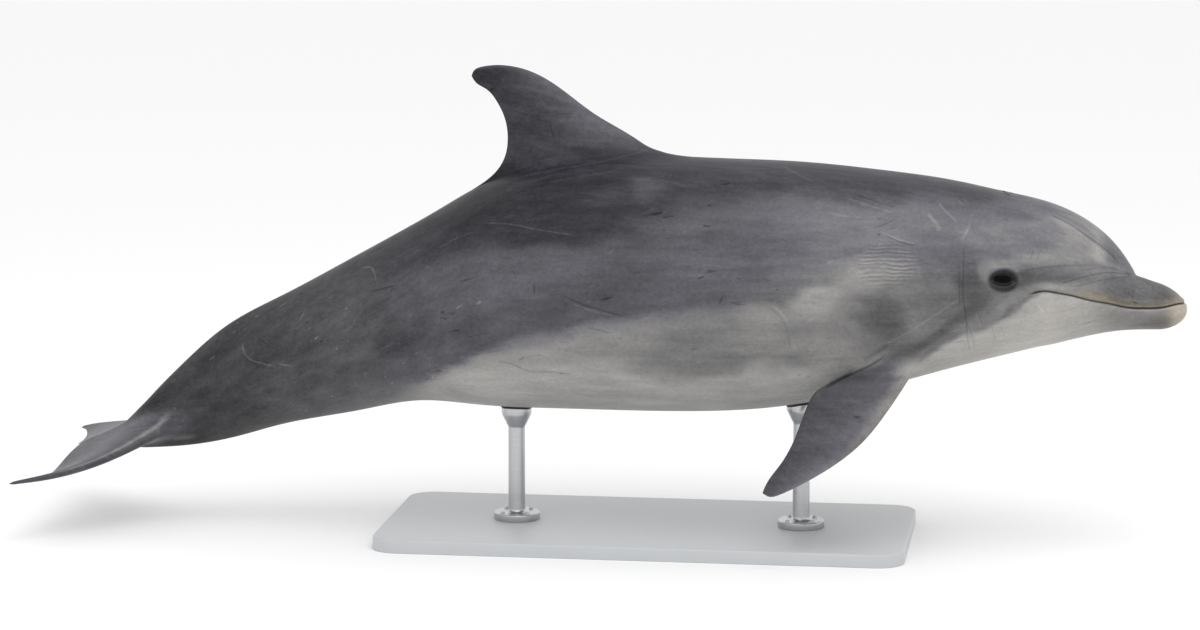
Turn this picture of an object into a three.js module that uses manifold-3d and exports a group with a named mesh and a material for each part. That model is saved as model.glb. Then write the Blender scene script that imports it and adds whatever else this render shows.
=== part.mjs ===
// A bottlenose dolphin at life size, swimming, held over the floor by a plain display stand.
// Millimetres. +X runs towards the beak, +Y to the animal's left and +Z up.
// The outlines below are drawn about the animal's own axis, which lies AXIS_HEIGHT above the floor.

import * as THREE from 'three';
import { mergeVertices } from 'three/addons/utils/BufferGeometryUtils.js';
import Module from 'manifold-3d';

// ---- driving dimensions ------------------------------------------------------------------

const AXIS_HEIGHT = 500;
const CENTRE_SHIFT = -7;          // brings the middle of the whole length over the origin
const GAP = 0.3;                  // thin cut between neighbouring pieces

// Body outline from the side: [x, z] knots, from the fluke notch to the front of the melon.
const BACK_LINE = [
  [-1190, -318], [-1101, -279], [-1044, -218], [-967, -139], [-872, -54], [-732, 27], [-546, 129],
  [-362, 234], [-271, 287], [-180, 323], [-60, 352], [90, 361], [268, 357], [446, 352], [623, 337],
  [799, 314], [887, 296], [974, 278], [1062, 244], [1106, 215], [1151, 170], [1189, 112],
  [1206, 78], [1214, 58],
];
const BELLY_LINE = [
  [-1190, -326], [-1101, -329], [-1018, -328], [-924, -318], [-830, -297], [-736, -269],
  [-550, -230], [-411, -203], [-274, -208], [-91, -211], [181, -210], [361, -200], [480, -182],
  [625, -147], [805, -94], [980, -46], [1111, -8], [1180, 16], [1206, 32], [1214, 38],
];
// Half width of the body, seen from above.
const HALF_WIDTH = [
  [-1190, 9], [-1101, 22], [-1046, 30], [-967, 41], [-872, 56], [-732, 92], [-546, 140], [-362, 184],
  [-180, 212], [0, 226], [179, 229], [357, 224], [535, 211], [711, 190], [840, 168], [930, 153],
  [1020, 134], [1100, 108], [1150, 86], [1189, 58], [1206, 36], [1214, 18],
];
// Height at which the body is widest.
const WIDEST_LINE = [
  [-1190, -322], [-1101, -304], [-1046, -277], [-967, -236], [-872, -182], [-732, -118],
  [-546, -45], [-362, 15], [-180, 52], [0, 68], [268, 78], [535, 92], [799, 98], [900, 94],
  [1000, 80], [1100, 62], [1189, 50], [1214, 47],
];
// Sharpness of the ridge along the back and the belly: 1 is a plain ellipse.
const BACK_KEEL = [
  [-1190, 1.0], [-1046, 1.45], [-872, 1.5], [-546, 1.3], [-180, 1.12], [268, 1.0], [1214, 1],
];
const BELLY_KEEL = [
  [-1190, 1.0], [-1046, 1.45], [-872, 1.4], [-546, 1.15], [-180, 0.95], [535, 0.95], [870, 1], [1214, 1],
];

// The beak: upper and lower outline and half width, up to the rounded tip.
const BEAK = {
  back: 905, tip: 1299, tipHeight: 40, roundFrom: 1236,
  top: [[905, 108], [1060, 112], [1130, 119], [1189, 113], [1217, 104], [1236, 98], [1299, 82]],
  bottom: [
    [905, -66], [980, -45], [1068, -23], [1111, -14], [1155, -8], [1198, -5], [1240, -4], [1299, -4],
  ],
  halfWidth: [[905, 128], [1000, 114], [1080, 92], [1150, 70], [1200, 59], [1236, 53], [1299, 45]],
  crease: 14,                     // how softly the melon runs into the beak
  hidden: 0.8, shownAfter: 110,   // its size where it begins inside the head, and where it has grown to full
};

// Mouth line, from the tip of the jaw to its corner below the eye, and the seam behind it.
const MOUTH_LINE = [
  [1310, 54], [1299, 55], [1282, 57], [1262, 54.5], [1240, 51], [1212, 50], [1172, 53], [1132, 64],
  [1087, 74], [1046, 86], [1016, 92], [994, 96], [975, 94], [961, 90],
];
const THROAT_SEAM = [[948, 78], [925, 20], [900, -110]];
const BEAK_SEAM = [[1196, 150], [1189, 112], [1168, 56], [1160, 0]];

// Seams across the body.
const SEAM = { tailEnd: -1192, waist: -400, chest: 150, neck: 700, head: 838 };

// Dorsal fin: front and rear edge from inside the back to the tip, and its thickness.
const DORSAL = {
  leading: [
    [250, 300], [165, 350], [124, 370], [78, 400], [-10, 451], [-100, 516], [-155, 545], [-215, 558],
    [-262, 555], [-284, 545], [-289, 533],
  ],
  trailing: [
    [-345, 225], [-318, 256], [-276, 286], [-238, 316], [-215, 352], [-208, 392], [-214, 438],
    [-233, 478], [-256, 504], [-280, 519], [-289, 533],
  ],
  thickness: [[0, 92], [0.12, 66], [0.3, 43], [0.6, 27], [0.9, 15], [1, 9]],
};

// Flipper: [x, distance out from the middle, z] along its edges, from inside the chest to the tip.
const FLIPPER = {
  leading: [
    [742, 70, -30], [716, 134, -76], [690, 164, -120], [655, 194, -172], [608, 226, -230],
    [548, 254, -278], [472, 282, -321], [434, 294, -338], [410, 299, -342], [397, 301, -334],
  ],
  trailing: [
    [590, 70, -30], [585, 140, -78], [542, 176, -104], [496, 203, -134], [484, 214, -158],
    [460, 250, -225], [432, 276, -276], [403, 295, -318], [397, 301, -334],
  ],
  thickness: [[0, 62], [0.15, 44], [0.35, 29], [0.65, 20], [0.9, 11], [1, 6]],
  leftAhead: 44, aheadFrom: 100,  // how far the left one's tip is swung forward, and from where outwards
};

// Flukes in their own plane: [distance from the middle, distance behind the root].
const FLUKE = {
  root: [-952, -249], pitch: 16.8, roll: 6.5, rollFade: 0.75, arch: 18, droop: 4,
  leading: [
    [-8, -48], [30, -16], [52, 22], [82, 66], [120, 108], [165, 156], [212, 208], [256, 262], [283, 300],
    [296, 334],
  ],
  trailing: [
    [-8, 249], [12, 260], [40, 270], [80, 277], [125, 281], [175, 288], [222, 300], [258, 314],
    [282, 327], [296, 334],
  ],
  thickness: [[0, 50], [0.15, 40], [0.35, 29], [0.7, 15], [1, 5]],
};

// Section of every fin: least half thickness at the rear, thickest share of the chord, and the step
// along the span over which its direction is read.
const FIN_SECTION = { edge: 1.2, thickest: 0.6, look: 0.02 };

const EYE = { x: 901, z: 122, length: 26, height: 20, depth: 17, sunk: 14.6, reach: 10 };
const BLOWHOLE = { x: 895, radius: 27, spread: 1.0, lip: 3.5, pinch: 1.3, depth: 9, height: 60 };

const BASE = { length: 1180, width: 540, height: 30, corner: 60, bevel: 4, x: 110 };
const ROD = {
  front: 455, rear: -190, radius: 19, foot: 52, footHeight: 16, footBevel: 5, footSide: 0.6, collar: 6,
  cup: 34, cupHeight: 46, cupFlare: 8, cupRim: 10, overlap: 30,
};

// How finely the curved surfaces are stepped.
const STEPS = {
  around: 32, body: 30, head: 18, beak: 7, fin: 13, finAround: 14, mouth: 12, rod: 16, eyeAround: 16,
  eyeRings: 10, blowhole: 6, corner: 4, halvings: 30,
};
// Reach of the shapes that cut the animal into pieces, past all of it.
const CUT = { width: 800, height: 900, ahead: 1400, below: -300, beakBelow: 0, beakAbove: 150 };
const WELD = 1e-4;                // points closer than this are one

// ---- materials ---------------------------------------------------------------------------

const skinOf = (color) => new THREE.MeshStandardMaterial({ color, roughness: 0.45, metalness: 0 });
const BACK_SKIN = skinOf(0x5c5b61);
const FLANK_SKIN = skinOf(0x77767b);
const FACE_SKIN = skinOf(0x8a898e);
const JAW_SKIN = skinOf(0xa39e9c);
const FIN_SKIN = skinOf(0x55545a);
const EYE_GLOSS = new THREE.MeshStandardMaterial({ color: 0x17151a, roughness: 0.08, metalness: 0 });
const BASE_PAINT = new THREE.MeshStandardMaterial({ color: 0xd9dadb, roughness: 0.55, metalness: 0 });
const ROD_STEEL = new THREE.MeshStandardMaterial({ color: 0xb9bcc0, roughness: 0.32, metalness: 1 });

const wasm = await Module();
wasm.setup();

// ---- curves ------------------------------------------------------------------------------

// Natural cubic spline through [position, value] knots, held level past both ends.
function spline(knots) {
  const n = knots.length;
  const bend = new Array(n).fill(0);
  const carry = new Array(n).fill(0);
  for (let i = 1; i < n - 1; i += 1) {
    const [before, here, after] = [knots[i - 1], knots[i], knots[i + 1]];
    const share = (here[0] - before[0]) / (after[0] - before[0]);
    const pivot = share * bend[i - 1] + 2;
    const turn = (after[1] - here[1]) / (after[0] - here[0]) - (here[1] - before[1]) / (here[0] - before[0]);
    bend[i] = (share - 1) / pivot;
    carry[i] = (6 * turn / (after[0] - before[0]) - share * carry[i - 1]) / pivot;
  }
  for (let i = n - 2; i >= 0; i -= 1) {
    bend[i] = bend[i] * bend[i + 1] + carry[i];
  }
  return (at) => {
    const x = THREE.MathUtils.clamp(at, knots[0][0], knots[n - 1][0]);
    let i = 0;
    while (i < n - 2 && x > knots[i + 1][0]) i += 1;
    const width = knots[i + 1][0] - knots[i][0];
    const a = (knots[i + 1][0] - x) / width;
    const b = 1 - a;
    const cubic = ((a ** 3 - a) * bend[i] + (b ** 3 - b) * bend[i + 1]) * width ** 2 / 6;
    return a * knots[i][1] + b * knots[i + 1][1] + cubic;
  };
}

// Smooth curve through points of any dimension, run by its length from 0 to 1.
function path(points) {
  const run = [0];
  for (let i = 1; i < points.length; i += 1) {
    run.push(run[i - 1] + Math.hypot(...points[i].map((value, k) => value - points[i - 1][k])));
  }
  const total = run[run.length - 1];
  const axes = points[0].map((_, k) => spline(points.map((point, i) => [run[i] / total, point[k]])));
  return (t) => axes.map((axis) => axis(t));
}

// The larger of two lengths, with the corner between them rounded over `soft`.
function softMax(a, b, soft) {
  const overlap = Math.max(soft - Math.abs(a - b), 0) / soft;
  return Math.max(a, b) + overlap * overlap * soft / 4;
}

// ---- meshes and solids -------------------------------------------------------------------

function signedVolume(positions, index) {
  const [a, b, c] = [new THREE.Vector3(), new THREE.Vector3(), new THREE.Vector3()];
  let volume = 0;
  for (let i = 0; i < index.length; i += 3) {
    a.fromArray(positions, index[i] * 3);
    b.fromArray(positions, index[i + 1] * 3);
    c.fromArray(positions, index[i + 2] * 3);
    volume += a.dot(b.cross(c)) / 6;
  }
  return volume;
}

// Closed surface over rings of equally many points, with a pole at each end.
function loft(rings, startPole, endPole) {
  const around = rings[0].length;
  const positions = [...rings.flat(2), ...startPole, ...endPole];
  const start = rings.length * around;
  const index = [];
  for (let i = 0; i < around; i += 1) {
    const next = (i + 1) % around;
    for (let r = 0; r < rings.length - 1; r += 1) {
      const [p, q] = [r * around, (r + 1) * around];
      index.push(p + i, q + i, q + next, p + i, q + next, p + next);
    }
    const last = (rings.length - 1) * around;
    index.push(start, i, next, start + 1, last + next, last + i);
  }
  if (signedVolume(positions, index) < 0) index.reverse();
  const geometry = new THREE.BufferGeometry();
  geometry.setAttribute('position', new THREE.Float32BufferAttribute(positions, 3));
  geometry.setIndex(index);
  return geometry;
}

function solidOf(geometry) {
  const bare = geometry.clone();
  bare.deleteAttribute('normal');
  bare.deleteAttribute('uv');
  const merged = mergeVertices(bare, WELD);
  return new wasm.Manifold(new wasm.Mesh({
    numProp: 3,
    vertProperties: new Float32Array(merged.attributes.position.array),
    triVerts: new Uint32Array(merged.index.array),
  }));
}

function meshOf(name, solid, material) {
  const { vertProperties, triVerts } = solid.getMesh();
  const geometry = new THREE.BufferGeometry();
  geometry.setAttribute('position', new THREE.BufferAttribute(new Float32Array(vertProperties), 3));
  geometry.setIndex(new THREE.BufferAttribute(new Uint32Array(triVerts), 1));
  geometry.computeVertexNormals();
  const mesh = new THREE.Mesh(geometry, material);
  mesh.name = name;
  return mesh;
}

// Upright prism across the body over a closed [x, z] outline, wide enough to cut all of it.
function prism(outline) {
  const shape = new THREE.Shape(outline.map(([x, z]) => new THREE.Vector2(x, z)));
  const geometry = new THREE.ExtrudeGeometry(shape, { depth: CUT.width, bevelEnabled: false });
  geometry.rotateX(Math.PI / 2);
  geometry.translate(0, CUT.width / 2, 0);
  return solidOf(geometry);
}

function slab(from, to) {
  return prism([[from, -CUT.height], [to, -CUT.height], [to, CUT.height], [from, CUT.height]]);
}

// ---- body --------------------------------------------------------------------------------

const backLine = spline(BACK_LINE);
const bellyLine = spline(BELLY_LINE);
const halfWidth = spline(HALF_WIDTH);
const widestLine = spline(WIDEST_LINE);
const backKeel = spline(BACK_KEEL);
const bellyKeel = spline(BELLY_KEEL);
const beakTop = spline(BEAK.top);
const beakBottom = spline(BEAK.bottom);
const beakWidth = spline(BEAK.halfWidth);

// Distance from the centre to an ellipse, along the direction (y, z).
function ellipseReach(width, height, y, z) {
  const length = Math.hypot(y, z);
  if (width < 0.01 || height < 0.01) return 0;
  return 1 / Math.hypot(y / length / width, z / length / height);
}

// Size of the beak's section at x: half width, and height above and below its centre.
function beakSection(x, centre) {
  const { back, tip, roundFrom, hidden, shownAfter } = BEAK;
  if (x < back) return { width: 0, above: 0, below: 0 };
  const closing = Math.sqrt(Math.max(1 - (Math.max(x - roundFrom, 0) / (tip - roundFrom)) ** 2, 0));
  const shown = THREE.MathUtils.smoothstep(x, back, back + shownAfter);
  const size = closing * THREE.MathUtils.lerp(hidden, 1, shown);
  return {
    width: beakWidth(x) * size,
    above: (beakTop(x) - centre) * size,
    below: (centre - beakBottom(x)) * size,
  };
}

// Height of the middle of the section, sinking to the tip of the beak in front of the melon.
function sectionCentre(x) {
  const melonEnd = BACK_LINE[BACK_LINE.length - 1][0];
  if (x <= melonEnd) return widestLine(x);
  const along = (x - melonEnd) / (BEAK.tip - melonEnd);
  return THREE.MathUtils.lerp(widestLine(melonEnd), BEAK.tipHeight, along);
}

// Point of the skin at x, where turn runs round the section from the animal's left side over the back.
function skinPoint(x, turn, grow) {
  const melonEnd = BACK_LINE[BACK_LINE.length - 1][0];
  const centre = sectionCentre(x);
  const upper = Math.sin(turn) >= 0;
  const beak = beakSection(x, centre);
  const hull = x < melonEnd
    ? { width: halfWidth(x), above: backLine(x) - centre, below: centre - bellyLine(x) }
    : { width: 0, above: 0, below: 0 };
  const [hullHeight, beakHeight] = upper ? [hull.above, beak.above] : [hull.below, beak.below];
  const keel = upper ? backKeel(x) : bellyKeel(x);
  const cosine = Math.cos(turn);
  const y = Math.max(hull.width, beak.width) * Math.sign(cosine) * Math.abs(cosine) ** keel;
  const z = Math.max(hullHeight, beakHeight) * Math.sin(turn);
  const direct = Math.hypot(y, z) || 1;
  const hullReach = beak.width === 0 ? direct : ellipseReach(hull.width, hullHeight, y, z);
  const beakReach = ellipseReach(beak.width, beakHeight, y, z);
  const reach = (beakReach > 0 ? softMax(hullReach, beakReach, BEAK.crease) : hullReach) + grow;
  return [x, y / direct * reach, centre + z / direct * reach];
}

// Ring positions: even along the trunk, closer over the head, and closing in on the beak's tip.
function ringPlaces() {
  const melonEnd = BACK_LINE[BACK_LINE.length - 1][0];
  const places = [];
  for (let i = 0; i < STEPS.body; i += 1) {
    places.push(THREE.MathUtils.lerp(BACK_LINE[0][0], SEAM.head, i / STEPS.body));
  }
  for (let i = 0; i < STEPS.head; i += 1) {
    places.push(THREE.MathUtils.lerp(SEAM.head, melonEnd, i / STEPS.head));
  }
  for (let i = 0; i < STEPS.beak; i += 1) {
    const sweep = Math.sin(Math.PI / 2 * i / STEPS.beak);
    places.push(THREE.MathUtils.lerp(melonEnd, BEAK.tip, sweep));
  }
  return places;
}

function bodySolid(grow) {
  const rings = ringPlaces().map((x) => {
    const ring = [];
    for (let i = 0; i < STEPS.around; i += 1) {
      ring.push(skinPoint(x, 2 * Math.PI * i / STEPS.around, grow));
    }
    return ring;
  });
  const tailPole = [BACK_LINE[0][0] - 2 - grow, 0, sectionCentre(BACK_LINE[0][0])];
  const tipPole = [BEAK.tip + grow, 0, BEAK.tipHeight];
  return solidOf(loft(rings, tailPole, tipPole));
}

// ---- fins --------------------------------------------------------------------------------

// Half thickness of a fin across its chord: round in front, thin but blunt behind.
function foil(along, thickness) {
  const shape = 2.969 * Math.sqrt(along) - 1.26 * along - 3.516 * along ** 2 + 2.843 * along ** 3
    - 1.036 * along ** 4;
  const edge = Math.sqrt(Math.max(along * (1 - along), 0));
  return thickness / 2 * shape + FIN_SECTION.edge * edge;
}

// Fin between a leading and a trailing edge, given as curves of [x, y, z] from root to tip.
function blade(leading, trailing, thickness) {
  const thick = spline(thickness);
  const { thickest, look } = FIN_SECTION;
  const middle = (t) => {
    const front = new THREE.Vector3(...leading(t));
    return front.lerp(new THREE.Vector3(...trailing(t)), 0.5);
  };
  const rings = [];
  for (let step = 0; step < STEPS.fin; step += 1) {
    const t = Math.sin(Math.PI / 2 * step / STEPS.fin);
    const front = new THREE.Vector3(...leading(t));
    const chord = new THREE.Vector3(...trailing(t)).sub(front);
    const span = middle(Math.min(t + look, 1)).sub(middle(t - look));
    const face = chord.clone().cross(span).normalize();
    const ring = [];
    for (let i = 0; i < STEPS.finAround; i += 1) {
      const turn = 2 * Math.PI * i / STEPS.finAround;
      const along = (1 - Math.cos(turn)) / 2;
      const limit = Math.min(thick(t), chord.length() * thickest);
      const out = Math.sign(Math.sin(turn)) * foil(along, limit);
      ring.push(front.clone().addScaledVector(chord, along).addScaledVector(face, out).toArray());
    }
    rings.push(ring);
  }
  return solidOf(loft(rings, middle(0).toArray(), leading(1)));
}

function dorsalFin() {
  const upright = ([x, z]) => [x, 0, z];
  return blade(path(DORSAL.leading.map(upright)), path(DORSAL.trailing.map(upright)), DORSAL.thickness);
}

function flipper(side) {
  const { leftAhead, aheadFrom } = FLIPPER;
  const span = FLIPPER.leading[FLIPPER.leading.length - 1][1] - aheadFrom;
  const place = ([x, out, z]) => {
    const share = THREE.MathUtils.clamp((out - aheadFrom) / span, 0, 1);
    const ahead = side > 0 ? leftAhead * share ** 1.5 : 0;
    return [x + ahead, side * out, z];
  };
  return blade(path(FLIPPER.leading.map(place)), path(FLIPPER.trailing.map(place)), FLIPPER.thickness);
}

// Fluke on one side: its plane is pitched along the tail, rolled a little, and arched across.
function fluke(side) {
  const span = FLUKE.leading[FLUKE.leading.length - 1][0];
  const pitch = Math.tan(THREE.MathUtils.degToRad(FLUKE.pitch));
  const roll = Math.tan(THREE.MathUtils.degToRad(FLUKE.roll));
  const place = ([out, back]) => {
    const share = out / span;
    const drop = FLUKE.arch * Math.sin(Math.PI * share) + FLUKE.droop * share;
    const y = side * out;
    const lean = y * roll * (1 - FLUKE.rollFade * share ** 2);
    return [FLUKE.root[0] - back, y, FLUKE.root[1] - back * pitch + lean - drop];
  };
  const half = new THREE.BoxGeometry(CUT.width, CUT.width, CUT.width);
  half.translate(FLUKE.root[0], side * (CUT.width / 2 + GAP / 2), FLUKE.root[1]);
  const whole = blade(path(FLUKE.leading.map(place)), path(FLUKE.trailing.map(place)), FLUKE.thickness);
  return whole.intersect(solidOf(half));
}

// ---- head details ------------------------------------------------------------------------

// Direction straight out of the skin at x on one side, at height z.
function eyePlacement(side) {
  const surface = (x, z) => {
    let [low, high] = [0, Math.PI / 2];
    for (let i = 0; i < STEPS.halvings; i += 1) {
      const turn = (low + high) / 2;
      if (skinPoint(x, turn, 0)[2] < z) {
        low = turn;
      } else {
        high = turn;
      }
    }
    return new THREE.Vector3(...skinPoint(x, low, 0));
  };
  const here = surface(EYE.x, EYE.z);
  const forward = surface(EYE.x + EYE.reach, EYE.z).sub(here);
  const upward = surface(EYE.x, EYE.z + EYE.reach).sub(here);
  const out = upward.cross(forward).normalize();
  if (out.y < 0) out.negate();
  const place = here.addScaledVector(out, -EYE.sunk);
  const mirrored = new THREE.Vector3(1, side, 1);
  return { place: place.multiply(mirrored), out: out.multiply(mirrored) };
}

// Flattened eyeball, turned so that its flat side looks straight out of the skin.
function eyeball(side, grow) {
  const geometry = new THREE.SphereGeometry(1, STEPS.eyeAround, STEPS.eyeRings);
  geometry.scale(EYE.length + grow, EYE.depth + grow, EYE.height + grow);
  const { place, out } = eyePlacement(side);
  const turn = new THREE.Quaternion().setFromUnitVectors(new THREE.Vector3(0, side, 0), out);
  geometry.applyQuaternion(turn);
  geometry.translate(place.x, place.y, place.z);
  return solidOf(geometry);
}

// Closed crescent slit on top of the head, with its horns pointing forward.
function blowhole(grow) {
  const { x, radius, spread, lip, pinch, depth, height } = BLOWHOLE;
  const reach = spread + grow / radius;
  const edge = (side) => {
    const points = [];
    for (let i = -STEPS.blowhole; i <= STEPS.blowhole; i += 1) {
      const turn = side * reach * i / STEPS.blowhole;
      const half = lip * Math.cos(turn / spread * pinch) + grow;
      const from = radius + side * half;
      points.push(new THREE.Vector2(x + radius - from * Math.cos(turn), from * Math.sin(turn)));
    }
    return points;
  };
  const shape = new THREE.Shape([...edge(1), ...edge(-1)]);
  const geometry = new THREE.ExtrudeGeometry(shape, { depth: height, bevelEnabled: false });
  geometry.translate(0, 0, backLine(x) - depth - grow);
  return solidOf(geometry);
}

// Region below the mouth line and ahead of the throat seam, moved outwards by grow.
function jawRegion(grow) {
  const mouth = path(MOUTH_LINE);
  const line = [];
  for (let i = 0; i <= STEPS.mouth; i += 1) {
    const [x, z] = mouth(i / STEPS.mouth);
    line.push([x, z + grow]);
  }
  const seam = THROAT_SEAM.map(([x, z]) => [x - grow, z]);
  const back = THROAT_SEAM[THROAT_SEAM.length - 1][0] - grow;
  const corners = [[back, CUT.below], [CUT.ahead, CUT.below], [CUT.ahead, MOUTH_LINE[0][1] + grow]];
  return prism([...line, ...seam, ...corners]);
}

function beakRegion(grow) {
  const seam = BEAK_SEAM.map(([x, z]) => [x - grow, z]);
  return prism([...seam, [CUT.ahead, CUT.beakBelow], [CUT.ahead, CUT.beakAbove]]);
}

// ---- stand -------------------------------------------------------------------------------

function standBase() {
  const { length, width, height, corner, bevel } = BASE;
  const [x, y] = [length / 2 - bevel, width / 2 - bevel];
  const shape = new THREE.Shape();
  shape.moveTo(-x + corner, -y);
  shape.lineTo(x - corner, -y);
  shape.absarc(x - corner, -y + corner, corner, -Math.PI / 2, 0);
  shape.absarc(x - corner, y - corner, corner, 0, Math.PI / 2);
  shape.absarc(-x + corner, y - corner, corner, Math.PI / 2, Math.PI);
  shape.absarc(-x + corner, -y + corner, corner, Math.PI, 3 * Math.PI / 2);
  const geometry = new THREE.ExtrudeGeometry(shape, {
    depth: height - 2 * bevel, bevelThickness: bevel, bevelSize: bevel, bevelSegments: 1,
    curveSegments: STEPS.corner,
  });
  geometry.translate(BASE.x, 0, bevel - AXIS_HEIGHT);
  return solidOf(geometry);
}

// Turned rod with a wide foot and a cup that opens under the belly, cut to the belly's shape.
function standRod(x, body) {
  const { radius, foot, footHeight, footBevel, footSide, collar, cup, cupHeight, cupFlare, cupRim } = ROD;
  const bottom = BASE.height + GAP - AXIS_HEIGHT;
  const top = bellyLine(x);
  const shoulder = bottom + footHeight;
  const waist = top - cupHeight;
  const profile = [
    [0, bottom], [foot, bottom], [foot, bottom + footHeight * footSide], [foot - footBevel, shoulder],
    [radius + footBevel, shoulder], [radius, shoulder + collar], [radius, waist],
    [radius + footBevel, waist + cupFlare], [cup, top - cupRim], [cup, top + ROD.overlap],
    [0, top + ROD.overlap],
  ];
  const geometry = new THREE.LatheGeometry(profile.map(([r, z]) => new THREE.Vector2(r, z)), STEPS.rod);
  geometry.rotateX(Math.PI / 2);
  geometry.translate(x, 0, 0);
  return solidOf(geometry).subtract(body);
}

// ---- assembly ----------------------------------------------------------------------------

const body = bodySolid(0);
const clearance = bodySolid(GAP);
const animal = new THREE.Group();
animal.position.set(CENTRE_SHIFT, 0, AXIS_HEIGHT);

function addPiece(name, solid, material) {
  animal.add(meshOf(name, solid, material));
}

function addHead() {
  const whole = body.intersect(slab(SEAM.head, CUT.ahead));
  let skull = whole.subtract(jawRegion(GAP)).subtract(beakRegion(GAP)).subtract(blowhole(GAP));
  for (const [name, side] of [['eye_left', 1], ['eye_right', -1]]) {
    skull = skull.subtract(eyeball(side, GAP));
    addPiece(name, eyeball(side, 0), EYE_GLOSS);
  }
  addPiece('head', skull, FACE_SKIN);
  addPiece('beak_upper', whole.subtract(jawRegion(GAP)).intersect(beakRegion(0)), FACE_SKIN);
  addPiece('jaw_lower', whole.intersect(jawRegion(0)), JAW_SKIN);
  addPiece('blowhole', whole.intersect(blowhole(0)), BACK_SKIN);
}

function addTrunk() {
  addPiece('neck', body.intersect(slab(SEAM.neck, SEAM.head - GAP)), FLANK_SKIN);
  addPiece('chest', body.intersect(slab(SEAM.chest, SEAM.neck - GAP)), FLANK_SKIN);
  addPiece('abdomen', body.intersect(slab(SEAM.waist, SEAM.chest - GAP)), FLANK_SKIN);
  addPiece('tail_stock', body.intersect(slab(SEAM.tailEnd, SEAM.waist - GAP)), BACK_SKIN);
}

function addFins() {
  addPiece('dorsal_fin', dorsalFin().subtract(clearance), FIN_SKIN);
  for (const [label, side] of [['left', 1], ['right', -1]]) {
    addPiece(`flipper_${label}`, flipper(side).subtract(clearance), FIN_SKIN);
    addPiece(`fluke_${label}`, fluke(side).subtract(clearance), FIN_SKIN);
  }
}

function addStand() {
  addPiece('stand_base', standBase(), BASE_PAINT);
  addPiece('stand_rod_front', standRod(ROD.front, clearance), ROD_STEEL);
  addPiece('stand_rod_rear', standRod(ROD.rear, clearance), ROD_STEEL);
}

addHead();
addTrunk();
addFins();
addStand();

export default animal;
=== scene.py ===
import math

import bmesh
import bpy
import numpy as np
from mathutils import Matrix, Vector
from mathutils.bvhtree import BVHTree


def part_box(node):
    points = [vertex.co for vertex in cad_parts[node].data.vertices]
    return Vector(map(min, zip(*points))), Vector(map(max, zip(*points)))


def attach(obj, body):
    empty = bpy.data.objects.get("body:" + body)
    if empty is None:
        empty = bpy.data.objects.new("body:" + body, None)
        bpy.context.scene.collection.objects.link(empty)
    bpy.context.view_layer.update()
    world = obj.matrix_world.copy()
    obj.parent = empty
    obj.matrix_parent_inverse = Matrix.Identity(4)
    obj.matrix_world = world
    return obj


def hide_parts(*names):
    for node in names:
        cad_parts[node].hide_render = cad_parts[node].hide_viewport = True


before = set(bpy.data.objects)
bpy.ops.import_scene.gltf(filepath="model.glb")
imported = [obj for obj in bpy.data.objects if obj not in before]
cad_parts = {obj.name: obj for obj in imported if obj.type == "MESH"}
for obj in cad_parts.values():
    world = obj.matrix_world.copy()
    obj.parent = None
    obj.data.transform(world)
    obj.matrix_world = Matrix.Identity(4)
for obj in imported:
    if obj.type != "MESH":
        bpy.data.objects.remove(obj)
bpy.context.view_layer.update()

scene = bpy.context.scene

# The animal's outlines are in millimetres about its own axis: x towards the beak, y to its left, z up.
animalPlace = {"axisShift": -7.0, "axisHeight": 500.0}
axisOffset = np.array([animalPlace["axisShift"], 0.0, animalPlace["axisHeight"]])
millimetre = 0.001  # in the frame's metres


def toFrame(points):
    return (np.asarray(points, float) + axisOffset) * millimetre


def fromFrame(points):
    return np.asarray(points, float) * 1000.0 - axisOffset


# natural cubic through [position, value] knots, held level past both ends
def spline(knots):
    xs = np.array([knot[0] for knot in knots], float)
    ys = np.array([knot[1] for knot in knots], float)
    count = len(xs)
    gaps = np.diff(xs)
    slopes = np.diff(ys) / gaps
    system = np.eye(count)
    pull = np.zeros(count)
    for i in range(1, count - 1):
        system[i, i - 1:i + 2] = gaps[i - 1], 2 * (gaps[i - 1] + gaps[i]), gaps[i]
        pull[i] = 6 * (slopes[i] - slopes[i - 1])
    bend = np.linalg.solve(system, pull)

    def at(x):
        x = np.clip(x, xs[0], xs[-1])
        i = np.clip(np.searchsorted(xs, x) - 1, 0, count - 2)
        a = (xs[i + 1] - x) / gaps[i]
        b = 1 - a
        cubic = ((a ** 3 - a) * bend[i] + (b ** 3 - b) * bend[i + 1]) * gaps[i] ** 2 / 6
        return a * ys[i] + b * ys[i + 1] + cubic
    return at


# straight lines between knots, for tones that must not overshoot
def ramp(knots):
    xs, ys = zip(*knots)
    return lambda x: np.interp(x, xs, ys)


# smooth curve through points of any dimension, run by its length from 0 to 1
def pathCurve(points):
    points = np.array(points, float)
    run = np.concatenate([[0], np.cumsum(np.linalg.norm(np.diff(points, axis=0), axis=1))])
    axes = [spline(list(zip(run / run[-1], points[:, k]))) for k in range(points.shape[1])]
    return lambda t: np.stack([axis(t) for axis in axes], -1)


def softMax(a, b, soft):  # the larger length, its corner rounded over soft
    overlap = np.maximum(soft - np.abs(a - b), 0) / soft
    return np.maximum(a, b) + overlap ** 2 * soft / 4


def smoothStep(x, low, high):
    share = np.clip((x - low) / (high - low), 0, 1)
    return share * share * (3 - 2 * share)


def hump(x, middle, width):
    return np.exp(-((x - middle) / width) ** 2)


def lerp(a, b, share):
    return a + (b - a) * share


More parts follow.
